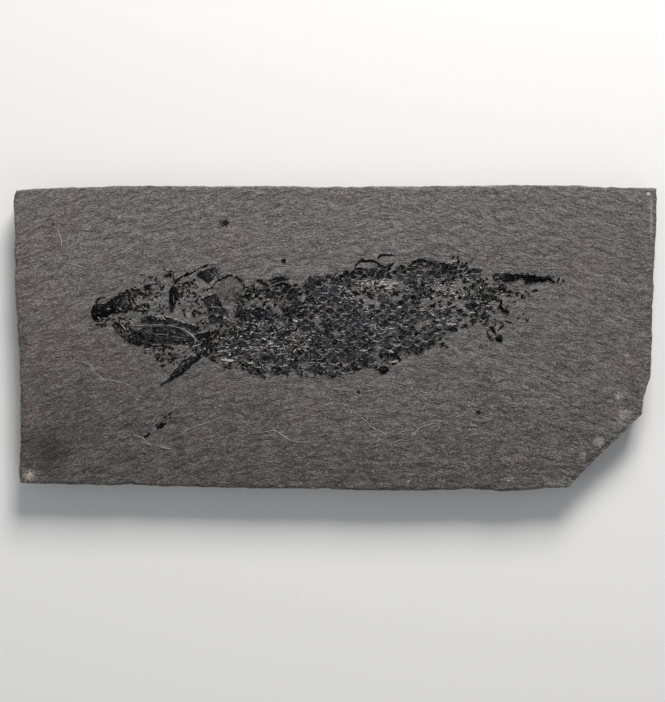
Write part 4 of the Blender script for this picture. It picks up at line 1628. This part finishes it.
# Light chips and glints: x, y, length, width, turn.
GLINTS = [
    (-31.9, -6.5, 4.4, 1.3, -3), (-33.4, -3.9, 1.7, 0.5, 25), (-29.4, -5.7, 1.5, 0.5, 5),
    (-25.8, 4.6, 1, 0.6, 0), (-24.4, 4.5, 1.1, 0.8, 0), (-24, 5.4, 0.9, 0.5, 0),
    (-29.2, 5.8, 0.9, 0.4, 0), (-20.2, 5.2, 1.5, 0.4, 0), (-11.8, 5.2, 1.9, 1, -15),
    (-10.2, 5.4, 1.3, 0.4, 0), (-18.9, -1.6, 1.7, 0.6, 15), (-23.5, -2.6, 1.7, 0.5, 12),
    (-25, -2.5, 1, 0.4, 0), (-23, -3.5, 1.9, 0.5, 0), (-21, -2.9, 1.7, 0.4, -20),
    (-25.4, 0.9, 1.1, 0.6, 0), (-8.8, -2.4, 2.2, 0.6, 0), (-9, 0.9, 0.9, 0.5, 0),
    (-14.8, -8, 1.5, 0.8, 0), (-25, -7.2, 1.9, 0.8, 10), (-19.8, 11.6, 0.9, 0.7, -40),
    (2.2, 2, 1.3, 0.45, 0), (2.4, 4.1, 1, 0.4, 0), (8, 2.8, 1.5, 0.55, -20), (11.4, 4, 0.9, 0.6, 0),
    (4.4, -2.8, 2.1, 0.55, 0), (8.2, -3.6, 2.4, 0.9, 0), (16.5, -3.9, 1.7, 0.9, -20),
    (16.4, 3, 1.5, 0.6, 0), (16, 7.2, 2.7, 0.55, 0), (1.5, 15.4, 1.9, 0.5, 0), (15.4, 14.6, 2.2, 1, 0),
    (17.8, 16.2, 2.1, 1.3, 0), (9, 17.2, 3.5, 0.5, 5), (7, 16.9, 2, 0.5, 0), (14, 16.65, 2.4, 0.3, 0),
    (14.3, 16.15, 2.4, 0.25, 0), (3.6, -10.1, 4.8, 1, 8), (17.5, -6.9, 2.2, 0.9, 12),
    (21.4, 19.6, 0.9, 0.9, 0), (23, 18.3, 1, 0.8, 0), (24.4, 18.6, 1.3, 0.7, 0), (19, 9.2, 1.3, 0.8, 0),
    (25.6, 8.8, 1.3, 0.8, 0), (20.5, 5.35, 3.3, 0.5, 4), (30.2, 5.4, 2, 1.1, 0),
    (30.6, 3.9, 2.2, 0.7, 0), (28.8, 6.9, 0.9, 0.6, 0), (33.6, 5.4, 1.5, 0.5, 30),
    (34.2, 4.2, 3.6, 0.7, -2), (40.2, 7.7, 2.3, 0.6, 0), (42, 19, 1, 0.4, 0),
    (49.2, 19.45, 1.1, 0.45, 8), (50.6, 19.4, 0.7, 0.35, 0), (49.4, 13, 0.9, 0.5, 10),
    (44.7, 16.6, 0.9, 0.45, 20), (45, 9.6, 1, 0.45, 0), (44.5, 8.1, 0.9, 0.45, 0),
    (40.2, 13.2, 1, 0.4, 20), (-53, 11, 0.6, 0.5, 0), (-56.8, 9.2, 0.9, 0.4, -20),
    (-55.9, 8.6, 1.4, 0.35, -20), (-66.9, 8.6, 1.5, 0.35, 8), (-69.9, 6, 0.6, 0.4, 0),
    (-69.3, 4.6, 0.6, 0.4, 0), (-68.4, 4.7, 0.6, 0.4, 0), (-68, 5.9, 0.6, 0.4, 0),
    (-63.3, 8.6, 0.6, 0.4, 0), (-44.2, 15.8, 0.5, 0.4, 0), (-42.8, 18.3, 0.9, 0.4, 0),
    (-55.5, -3.3, 1.8, 0.5, 0), (-62.4, 4.9, 1.4, 0.9, 0), (-49.6, 15.7, 0.5, 0.4, 0),
    (-40.2, -1, 1.2, 0.35, 20),
]

# Hairline ridges of the stone: points, half width and tone.
STONE_HAIRLINES = [
    ([(-75.9, -6.8), (-73.9, -7.1), (-72.4, -8), (-71.6, -9.1)], 0.12, 0.2),
    ([(-71.8, -8.9), (-70.8, -10.3), (-69.6, -11.2), (-68.3, -12.3), (-66.5, -12.4)], 0.11, 0.15),
    ([(-70.6, -12), (-69.2, -12.1), (-68, -12.6)], 0.11, 0.3),
    ([(-67, -12.2), (-64.7, -12.7), (-62.5, -13.4)], 0.12, 0.4),
    ([(-63.2, -12.8), (-60, -14.4), (-58.1, -15.1)], 0.11, 0.2),
    ([(-59.9, -17.2), (-58.6, -18), (-57.5, -18.4)], 0.12, 0.5),
    ([(-57.2, -18.2), (-55.6, -19.1), (-54, -19.2)], 0.1, 0.1),
    ([(-59.6, -28.7), (-58.2, -28.9), (-56.6, -29.6), (-55.6, -30.6)], 0.12, 0.4),
    ([(-56.7, -29.9), (-55.5, -31.1), (-54.3, -31.5)], 0.13, 0.5),
    ([(-52.4, -31.7), (-50.8, -32.3), (-48.4, -32.6)], 0.13, 0.5),
    ([(-51, -31.9), (-49.6, -32)], 0.1, 0.4),
    ([(-23.5, -27.9), (-20.6, -27.6), (-18, -27.2), (-16, -28.4), (-13.9, -29.8), (-11.6, -30.4),
      (-9.4, -30.6), (-5.2, -29.7)], 0.12, 0.5),
    ([(-45.9, -28.5), (-43.6, -27), (-41.4, -26)], 0.11, 0.4),
    ([(-42.4, -26.2), (-39.6, -25.5), (-36.6, -24.2)], 0.11, 0.2),
    ([(-37.6, -24.9), (-34.4, -23.6), (-31.8, -22.8)], 0.11, 0.5),
    ([(7.1, -23.1), (9.4, -24.8), (10.4, -26.2)], 0.11, 0.3),
    ([(10, -25.6), (11.8, -27), (13.6, -27.6), (15.3, -28.7)], 0.12, 0.4),
    ([(9.9, -28), (12, -29.2), (13.9, -30.6)], 0.11, 0.4),
    ([(15.6, -31), (16.8, -30.9), (18.9, -30), (21.3, -29.5)], 0.12, 0.4),
    ([(21.8, -29), (23, -28.3), (24.9, -26.3)], 0.12, 0.3),
    ([(24.4, -26.6), (27.5, -25.5), (29.7, -25)], 0.11, 0.3),
    ([(-82.2, 32.4), (-81.4, 30.6), (-80.8, 28.8), (-80.9, 27)], 0.13, 0.8),
    ([(-79.4, 22), (-77.4, 21.8), (-75.4, 21.2), (-73.4, 20.6)], 0.12, 0.5),
    ([(-74.6, 25.2), (-73.4, 25)], 0.12, 0.5), ([(-88.8, 21), (-87.6, 21.2)], 0.12, 0.5),
]

# Light hairlines among the bones.
BONE_HAIRLINES = [
    ([(-49.5, 6.4), (-47.5, 5.7), (-45.6, 5.1), (-43.4, 5), (-41.2, 5)], 0.08, 0.4),
    ([(-56.4, 6.7), (-54.6, 7), (-52.6, 6.9)], 0.07, 0.3),
    ([(-51.2, 6.8), (-50.6, 5.8), (-49.8, 5.2)], 0.12, 0.7),
    ([(-62, 5.6), (-60.4, 5), (-59.6, 3.8)], 0.13, 0.6),
    ([(-63.6, 4.4), (-62.4, 3.2), (-61.8, 2)], 0.13, 0.5),
    ([(-47.8, 10.4), (-47.7, 11.6), (-47.8, 13)], 0.11, 0.2),
    ([(-67.6, 8.5), (-66.9, 8.8), (-66.2, 8.7)], 0.13, 0.2),
    ([(-40.7, 17.6), (-39.6, 16.9), (-38.8, 16.2), (-37.8, 15.6), (-36.6, 15.9)], 0.08, 0.4),
    ([(-41, 19.3), (-40, 19.9), (-38.8, 20.6), (-37.4, 21.1)], 0.05, 0.1),
    ([(-36.6, 13.3), (-34, 14), (-32.6, 15)], 0.09, 0.2),
    ([(-40, -0.6), (-38.6, -0.2), (-37.2, 0.4)], 0.08, 0.4),
    ([(-42.6, -2.6), (-41.2, -2.2), (-39.8, -1.6)], 0.13, 0.6),
    ([(-44.4, -6.2), (-42.8, -5), (-41.4, -3.8)], 0.12, 0.5),
    ([(-39.6, 6.6), (-38.8, 8.4), (-39, 10.2)], 0.11, 0.4),
    ([(-39.2, 11.6), (-39, 10.6), (-38.7, 9.8)], 0.1, 0.6),
    ([(-32.3, 6), (-31.4, 5.4), (-30.8, 4.5)], 0.08, 0.5),
    ([(-46.3, -8.3), (-44.8, -7.5), (-43, -6.4)], 0.09, 0.5),
    ([(-49.6, -11.9), (-48.2, -10.9), (-46.9, -9.8)], 0.07, 0.2),
    ([(-42.4, -5.6), (-41.2, -4.6), (-40.2, -3.2)], 0.08, 0.5),
    ([(-41.2, -5.2), (-40, -4), (-39.2, -2.6)], 0.08, 0.4),
    ([(-39.6, -4.6), (-38.8, -3.4), (-38.4, -2)], 0.07, 0.4),
    ([(-34.5, 1), (-34.7, -0.2), (-35.2, -1.4)], 0.09, 0.5),
    ([(-53.6, 1.1), (-51.4, 1.2), (-49.2, 0.9)], 0.08, 0.3),
    ([(-48.6, 0.6), (-46.6, 0.3), (-44.4, -0.1)], 0.08, 0.3),
    ([(-56.2, 2.5), (-55.4, 2), (-54.6, 1.2)], 0.1, 0.3),
    ([(-55.4, 2.7), (-54.6, 2.2), (-53.9, 1.6)], 0.1, 0.3),
    ([(-52, 6.1), (-51.4, 5.7), (-51, 5.3)], 0.16, 0.3),
    ([(-38.6, 9.3), (-36.4, 9.2), (-34.2, 9.3)], 0.08, 0.3),
    ([(-37.8, 7.1), (-35.4, 7), (-32.8, 6.7)], 0.08, 0.3),
    ([(-49.6, 8.2), (-49, 8), (-48.4, 8.1)], 0.07, 0.2),
    ([(-63, 0.2), (-61, -1.4), (-58.8, -2.4)], 0.1, 0.3),
    ([(-51.6, -14.5), (-51.7, -16), (-51.6, -17)], 0.1, 0.1),
    ([(49.2, 16.2), (51.6, 15.6), (54.4, 15.4)], 0.09, 0.3),
    ([(49.4, 15.8), (52, 14.9), (54.6, 14.5)], 0.09, 0.3),
    ([(49.6, 15.2), (52, 14.2), (54, 13.6)], 0.09, 0.2),
    ([(16, 16.5), (14.2, 16.6), (12.6, 16.2)], 0.12, 0.7),
    ([(16.8, 16), (14.8, 15.9), (12.8, 15.6)], 0.12, 0.7),
    ([(-69.9, 10.2), (-69.6, 11.3), (-68.8, 12.1), (-67.6, 12.1)], 0.05, 0.1),
]


@dataclass(frozen=True)
class Wrinkles:
    """Short light curves among the scales, in millimetres."""

    count: int = 150
    low: float = 0.8
    high: float = 2.4
    seed: int = 23

    def routes(self) -> list[Thread]:
        """Draws the curves inside the flank's outline."""
        chance = random.Random(self.seed)
        outline = COATS["flank_scales"][0]
        made = []
        while len(made) < self.count:
            x, y = chance.uniform(-36.0, 42.0), chance.uniform(-10.0, 22.0)
            angle = math.radians(chance.gauss(0.0, 40.0))
            length = chance.uniform(self.low, self.high)
            sag = chance.uniform(-0.05, 0.28) * length
            half, tone = chance.uniform(0.05, 0.11), chance.random()
            if inside(x, y, outline):
                along = Vector((math.cos(angle), math.sin(angle))) * length / 2
                across = Vector((math.sin(angle), -math.cos(angle))) * sag
                made.append(([
                    (x - along.x, y - along.y), (x + across.x, y + across.y),
                    (x + along.x, y + along.y)], half, tone))
        return made


class Fish:
    """The fossil fish: its bones, scales, flecks and fine ridges."""

    COATS = (Coat("flank_scales"), Coat("dorsal_scales", 2.4, 1.6, 0.9, 0.4, 6),
             Coat("peduncle_scales", 2.6, 1.7, 0.92, 0.5, 7))
    SEED = 41
    # How thick scales, dark flecks, plates and pale flecks are, and how far they are bent.
    SCALE_FORM, DARK_FORM, PLATE_FORM, PALE_FORM = (0.2, 0.35), (0.12, 0.25), (0.14, 0.5), (0.1, 0.25)

    def __init__(self, carver: Carver) -> None:
        """Keeps the carver.

        Args:
            carver: What carves and dresses the pieces.
        """
        self.carver = carver

    def build_bones(self) -> None:
        """Carves the bones of head, trunk and tail."""
        for bones, first in BONES:
            for seed, bone in enumerate(bones, first):
                self.carver.carve(bone, seed)

    def build_scales(self) -> None:
        """Lays the coats of scales."""
        form = Strewer(12, dish=0.14, decay=0.42)
        for coat in self.COATS:
            obj = form.strew(coat.name + "_coat", coat.scales(), *self.SCALE_FORM, Ground())
            self.carver.dress(obj, "scale_bone", Slot.SCALE, coat.name)

    @staticmethod
    def chips(rows: list[tuple[float, ...]], lift: float, pale: float,
              chance: random.Random) -> list[Laid]:
        """Lays chips by a table.

        Args:
            rows: For each chip x, y, length, width, turn and, if it has one, tone.
            lift: How far they stand off the ground, in millimetres.
            pale: How pale their rims are at most.
            chance: Where the draws come from.

        Returns:
            The chips.
        """
        return [Laid(x, y, length, width, turn, 0.0, lift, tone[0] if tone else 0.0,
                     pale * chance.random()) for x, y, length, width, turn, *tone in rows]

    def build_flecks(self) -> None:
        """Strews dark and pale flecks, loose plates and the glints of the flank."""
        carver, form, chance = self.carver, Strewer(7, dish=0.02, decay=0.2), random.Random(self.SEED)
        ground = Ground(carver.pieces)
        dark = [fleck for zone in DARK_ZONES for fleck in zone.flecks(chance)]
        dark += self.chips(HEAD_CHIPS + THROAT_CHIPS + TRUNK_CHIPS + REAR_CHIPS + TAIL_CHIPS,
                           0.05, 0.25, chance)
        dark += [Laid(x, y, chance.uniform(0.7, 1.2), chance.uniform(0.4, 0.75),
                      chance.uniform(-60.0, 60.0), pale=0.2 * chance.random())
                 for x, y in CRUMBS]
        obj = form.strew("dark_flecks", dark, *self.DARK_FORM, ground)
        carver.dress(obj, "chip_bone", Slot.BLACK)
        plates = self.chips(TRUNK_PLATES, 0.08, 0.3, chance)
        wide_form = Strewer(16, dish=0.02, decay=0.12)
        obj = wide_form.strew("trunk_plates", plates, *self.PLATE_FORM, ground)
        carver.dress(obj, "shield_bone", Slot.BLACK)
        pale = [fleck for zone in PALE_ZONES for fleck in zone.flecks(chance)]
        pale += [Laid(x, y, length, 0.62 * width, turn, lift=0.04,
                      tone=0.3 + 0.45 * chance.random()) for x, y, length, width, turn in GLINTS]
        obj = form.strew("pale_flecks", pale, *self.PALE_FORM, Ground(carver.pieces))
        carver.dress(obj, "pale_mineral", Slot.PALE)

    def build_threads(self) -> None:
        """Lays the hairline ridges of stone and bone."""
        obj = lay_threads("stone_hairlines", STONE_HAIRLINES, Ground())
        self.carver.dress(obj, "faint_mineral", Slot.PALE)
        obj = lay_threads("bone_hairlines", BONE_HAIRLINES + Wrinkles().routes(),
                          Ground(self.carver.pieces))
        self.carver.dress(obj, "pale_mineral", Slot.PALE)


# ---- The stone ----


def even_points(line: list[Point], count: int) -> np.ndarray:
    """Walks a line in even steps.

    Args:
        line: The line's points.
        count: How many steps.

    Returns:
        One row for each step, without the line's last point.
    """
    points = np.array(line, float)
    lengths = np.hypot(*np.diff(points, axis=0).T)
    reach = np.concatenate([[0.0], np.cumsum(lengths)])
    marks = np.arange(count) / count * reach[-1]
    return np.stack([np.interp(marks, reach, points[:, k]) for k in range(2)], axis=1)


def break_share(x: float, y: float) -> float:
    """Gives 1 on the broken corner and 0 away from it."""
    point, line = Vector((x, y)), BREAK_END - BREAK_START
    along = clamp((point - BREAK_START).dot(line) / line.length_squared)
    distance = (point - BREAK_START - line * along).length
    return max(0.0, 1.0 - distance / BREAK_REACH)


@dataclass
class Stone:
    """The flagstone: a fine upper face, split sides and a flat underside."""

    columns: int = 300
    rows: int = 142
    window: int = 9
    # How far apart the grid's lines are, in millimetres.
    spacing: float = 0.62
    ring_heights: tuple[float, ...] = (
        9.5, 9.15, 8.6, 8.1, 7.62, 7.38, 6.9, 6.3, 5.7, 5.12, 4.88, 4.3, 3.7, 3.02, 2.78,
        2.2, 1.6, 1.0, 0.5, 0.0)

    # The roughness of the sides: depth, length and height of the waves.
    SIDE_WAVES = ((0.28, 3.1, 1.1), (0.13, 1.1, 0.45))
    # The bites out of the sides: depth, threshold, length and height.
    BITES = (0.9, 0.18, 6.5, 2.2)
    # The chips off the upper rim: depth, threshold, length and how far in they reach.
    CHIPS = (0.55, 0.05, 2.6, 1.7)
    # The low steps and the fine ripples of the upper face, in millimetres.
    TERRACE = 0.07
    FINE_RIPPLE = 0.035
    # How far the dark film and the washed stone reach round the fish, in millimetres.
    FILM_REACH = 1.2
    WASH_REACH = 3.5

    def boundary(self) -> tuple[np.ndarray, np.ndarray]:
        """Walks round the outline.

        Returns:
            The points, anticlockwise from the bottom left corner, and their outward normals.
        """
        sides = (
            even_points(BOTTOM_SIDE[::-1], self.columns), even_points(RIGHT_SIDE[::-1], self.rows),
            even_points(TOP_SIDE[::-1], self.columns), even_points(LEFT_SIDE[::-1], self.rows))
        points = np.vstack(sides) - np.array(OUTLINE_MIDDLE)
        along = np.roll(points, -self.window, axis=0) - np.roll(points, self.window, axis=0)
        along /= np.linalg.norm(along, axis=1)[:, None]
        return points, np.stack([along[:, 1], -along[:, 0]], axis=1)

    def side_offset(self, x: float, y: float, height: float) -> float:
        """Gives how far the side stands out at a place and a height.

        Args:
            x: Place along the slab.
            y: Place across the slab.
            height: Height above the underside.

        Returns:
            The offset in millimetres, negative inwards.
        """
        layer = next((i for i, top in enumerate(LAYER_TOPS) if height <= top + 0.05), 3)
        offset = (LAYER_WAVES[layer] * wave(x / WAVE_LENGTH, y / WAVE_LENGTH, 7.3 * layer)
                  - LAYER_INSETS[layer])
        for depth, length, tall in self.SIDE_WAVES:
            offset += depth * wave(x / length, y / length, height / tall)
        depth, threshold, length, tall = self.BITES
        bite = wave(x / length, y / length, height / tall + 30.0)
        return offset - depth * max(0.0, bite - threshold)

    def face_points(self, edge: np.ndarray) -> np.ndarray:
        """Spreads a grid inside the rim.

        Args:
            edge: The rim's points, anticlockwise from the bottom left corner.

        Returns:
            A grid of points, by row and column.
        """
        columns, rows = self.columns, self.rows
        loop = np.vstack([edge, edge[:1]])
        bottom = loop[: columns + 1]
        right = loop[columns: columns + rows + 1]
        top = loop[columns + rows: 2 * columns + rows + 1][::-1]
        left = loop[2 * columns + rows:][::-1]
        u = np.linspace(0.0, 1.0, columns + 1)[None, :, None]
        v = np.linspace(0.0, 1.0, rows + 1)[:, None, None]
        grid = (1 - v) * bottom[None] + v * top[None] + (1 - u) * left[:, None] + u * right[:, None]
        corners = ((1 - u) * (1 - v) * bottom[0] + u * (1 - v) * bottom[-1]
                   + (1 - u) * v * top[0] + u * v * top[-1])
        return grid - corners

    def build(self, carver: Carver) -> None:
        """Models the stone and dresses it.

        Args:
            carver: What dresses the piece; its pieces leave a dark film round them.
        """
        points, normals = self.boundary()
        shares = np.array([break_share(x, y) for x, y in points])
        crest = np.array([self.side_offset(x, y, LAYER_TOPS[-1]) for x, y in points])
        inset = RIM * np.array([0.75 + 0.9 * abs(wave(x, y, 8.0, 2.3)) for x, y in points])
        rim = points + normals * (crest - inset - BREAK_WIDTH * shares)[:, None]
        Bench.take(None)
        bpy.ops.mesh.primitive_grid_add(
            x_subdivisions=self.columns, y_subdivisions=self.rows, size=2.0)
        obj = bpy.context.active_object
        obj.name = obj.data.name = "slab_stone"
        self.lay_face(obj.data, self.face_points(rim))
        self.drop_sides(obj, points, normals, shares, rim)
        self.mark(obj.data, carver)
        Bench.smooth(obj, 50.0)
        carver.dress(obj, "flagstone", Slot.MATRIX, "slab")

    def lay_face(self, mesh: bpy.types.Mesh, grid: np.ndarray) -> None:
        """Moves the grid's points onto the upper face.

        Args:
            mesh: The grid, from -1 to 1 both ways.
            grid: Where its points go, by row and column.
        """
        points = positions(mesh) * MM
        column = np.rint((points[:, 0] + 1) / 2 * self.columns).astype(int)
        row = np.rint((points[:, 1] + 1) / 2 * self.rows).astype(int)
        for i, (x, y) in enumerate(grid[row, column]):
            border = self.spacing * min(
                column[i], self.columns - column[i], row[i], self.rows - row[i])
            points[i] = (x, y, self.face_relief(x, y, border))
        set_positions(mesh, points)

    def face_relief(self, x: float, y: float, border: float) -> float:
        """Gives the upper face's height with its splits and chips.

        Args:
            x: Place along the slab.
            y: Place across the slab.
            border: How far it is from the rim.

        Returns:
            The height in millimetres.
        """
        height = face_height(x, y)
        height += self.TERRACE * math.tanh((wave(x * 0.035, y * 0.075, 11.0) - 0.12) * 14.0)
        height += self.FINE_RIPPLE * wave(x * 0.5 + y * 0.16, y * 0.8, 21.0)
        depth, threshold, length, reach = self.CHIPS
        chip = max(0.0, wave(x / length, y / length, 14.0) - threshold)
        return height - depth * chip * max(0.0, 1.0 - border / reach)

    def drop_sides(self, obj: bpy.types.Object, points: np.ndarray, normals: np.ndarray,
                   shares: np.ndarray, rim: np.ndarray) -> None:
        """Extrudes the rim down ring by ring and closes the underside.

        Args:
            obj: The grid.
            points: The outline.
            normals: Its outward normals.
            shares: How much each point belongs to the broken corner.
            rim: The grid's edge.
        """
        Bench.enter(obj)
        bpy.context.tool_settings.mesh_select_mode = (False, True, False)
        bpy.ops.mesh.select_all(action="DESELECT")
        bpy.ops.mesh.select_non_manifold(
            extend=False, use_wire=False, use_boundary=True, use_multi_face=False,
            use_non_contiguous=False, use_verts=False)
        ring = rim
        for height in self.ring_heights:
            bpy.ops.mesh.extrude_edges_move(TRANSFORM_OT_translate={"value": (0, 0, -MM)})
            offset = np.array([self.side_offset(x, y, height) for x, y in points])
            level = np.full(len(points), height)
            if height == self.ring_heights[0]:
                offset = offset - BREAK_WIDTH * shares / 2
                level = level - BREAK_DROP * shares
            if height == 0.0:
                offset = offset - FOOT
            ring = self.place_ring(obj, ring, points + normals * offset[:, None], level)
        bpy.ops.mesh.edge_face_add()
        Bench.leave()

    @staticmethod
    def place_ring(obj: bpy.types.Object, before: np.ndarray, after: np.ndarray,
                   level: np.ndarray) -> np.ndarray:
        """Moves the selected ring to its new place.

        Args:
            obj: The mesh in edit mode.
            before: Where the ring's points are now.
            after: Where they go.
            level: Their new heights.

        Returns:
            The new places.
        """
        nearby = Nearby(before)
        bm = bmesh.from_edit_mesh(obj.data)
        for vertex in bm.verts:
            if vertex.select:
                i, _ = nearby.find(vertex.co.x / MM, vertex.co.y / MM)
                vertex.co = Vector((*after[i], level[i])) * MM
        bmesh.update_edit_mesh(obj.data)
        return after

    def mark(self, mesh: bpy.types.Mesh, carver: Carver) -> None:
        """Marks the sides, the fresh breaks and the film round the fish.

        Args:
            mesh: The stone.
            carver: Whose pieces the film surrounds.
        """
        made = positions(mesh)
        fish = Nearby([point for piece in carver.pieces if "hairlines" not in piece.name
                       for point in positions(piece.data)[::5]])
        film, wash, fresh, side = np.zeros((4, len(made)))
        for i, (x, y, z) in enumerate(made):
            if z < LAYER_TOPS[-1] - BREAK_DROP - 0.1:
                side[i] = 1.0
                fresh[i] = 0.35 + 0.3 * wave(x, y, z, 5.0)
                continue
            share = break_share(x, y)
            side[i] = clamp((THICKNESS - 0.25 - z) / 0.3) * (1.0 - share)
            patch = wave(x, y, 5.0, 4.0)
            dusty = 0.6 * break_share(x + 2.4, y - 2.4) * max(0.0, 0.5 + 1.6 * patch)
            fresh[i] = max(0.8 * side[i], 0.6 * share, dusty) * (1.0 + 0.6 * patch)
            distance = fish.find(x, y)[1]
            cloud = wave(x, y, 2.0, 2.5)
            front = max(0.0, min(1.0, (2.0 - x) / 12.0, (x + 38.0) / 4.0))
            film[i] = max(0.0, 1.0 - distance / self.FILM_REACH) * (
                0.28 + 0.52 * front + 0.5 * cloud)
            wash[i] = max(0.0, 1.0 - distance / self.WASH_REACH)
        set_values(mesh, film=np.clip(film, 0.0, 1.0), wash=wash,
                   fresh=np.clip(fresh, 0.0, 1.0), side=side)


# ---- The studio ----


@dataclass(frozen=True)
class Lamp:
    """A soft square light, in metres and watts."""

    name: str
    place: Triple
    size: float
    power: float
    colour: Colour


@dataclass(frozen=True)
class Studio:
    """A pale floor, soft lights and a camera straight above."""

    lens: float = 85.0
    sensor: float = 36.0
    frame_height: float = 0.2071
    aim: Point = (-0.000885, -0.00376)
    floor_size: float = 40.0
    floor_gap: float = 0.0002
    floor_colour: Colour = (0.78, 0.775, 0.765)
    sky_colour: Colour = (0.93, 0.95, 1.0)
    sky_strength: float = 0.25
    lamps: tuple[Lamp, ...] = (
        Lamp("key_light", (0.14, 0.62, 0.45), 0.32, 7.6, (1.0, 0.99, 0.97)),
        Lamp("fill_light", (0.45, -0.75, 0.8), 0.8, 1.3, (0.97, 0.985, 1.0)),
        Lamp("side_light", (-0.85, -0.1, 0.6), 0.7, 1.3, (0.98, 0.99, 1.0)),
    )

    def build_floor(self) -> None:
        """Lays the floor."""
        Bench.take(None)
        bpy.ops.mesh.primitive_plane_add(size=self.floor_size, location=(0, 0, -self.floor_gap))
        floor = bpy.context.active_object
        floor.name = "studio_floor"
        material = bpy.data.materials.new("floor_paper")
        material.use_nodes = True
        shader = material.node_tree.nodes["Principled BSDF"]
        shader.inputs["Base Color"].default_value = (*self.floor_colour, 1.0)
        shader.inputs["Roughness"].default_value = 0.9
        floor.data.materials.append(material)

    def build_lights(self) -> None:
        """Hangs the lights and sets the sky."""
        for lamp in self.lamps:
            light = bpy.data.lights.new(lamp.name, "AREA")
            light.shape = "SQUARE"
            light.size = lamp.size
            light.energy = lamp.power
            light.color = lamp.colour
            obj = link(lamp.name, light)
            obj.location = lamp.place
            obj.rotation_euler = (-Vector(lamp.place)).to_track_quat("-Z", "Y").to_euler()
            obj.visible_camera = False
        world = bpy.data.worlds.new("soft_sky")
        world.use_nodes = True
        sky = world.node_tree.nodes["Background"]
        sky.inputs["Color"].default_value = (*self.sky_colour, 1.0)
        sky.inputs["Strength"].default_value = self.sky_strength
        bpy.context.scene.world = world

    def build_camera(self) -> None:
        """Sets the camera above the slab."""
        camera = bpy.data.cameras.new("camera")
        camera.lens = self.lens
        camera.sensor_width = self.sensor
        camera.clip_start = 0.01
        obj = link("camera", camera)
        distance = self.frame_height * self.lens / self.sensor
        obj.location = (*self.aim, THICKNESS * MM + distance)
        bpy.context.scene.camera = obj
        bpy.context.scene.view_settings.view_transform = "Standard"


def main() -> None:
    """Builds the pieces in order."""
    logging.basicConfig(level=logging.INFO, format="%(name)s: %(message)s")
    log.info("the frame has %d nodes", len(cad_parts))
    noise.seed_set(NOISE_SEED)
    carver = Carver(Paint(Palette()))
    fish = Fish(carver)
    fish.build_bones()
    fish.build_scales()
    fish.build_flecks()
    fish.build_threads()
    Stone().build(carver)
    studio = Studio()
    studio.build_floor()
    studio.build_lights()
    studio.build_camera()


if __name__ == "__main__":
    main()
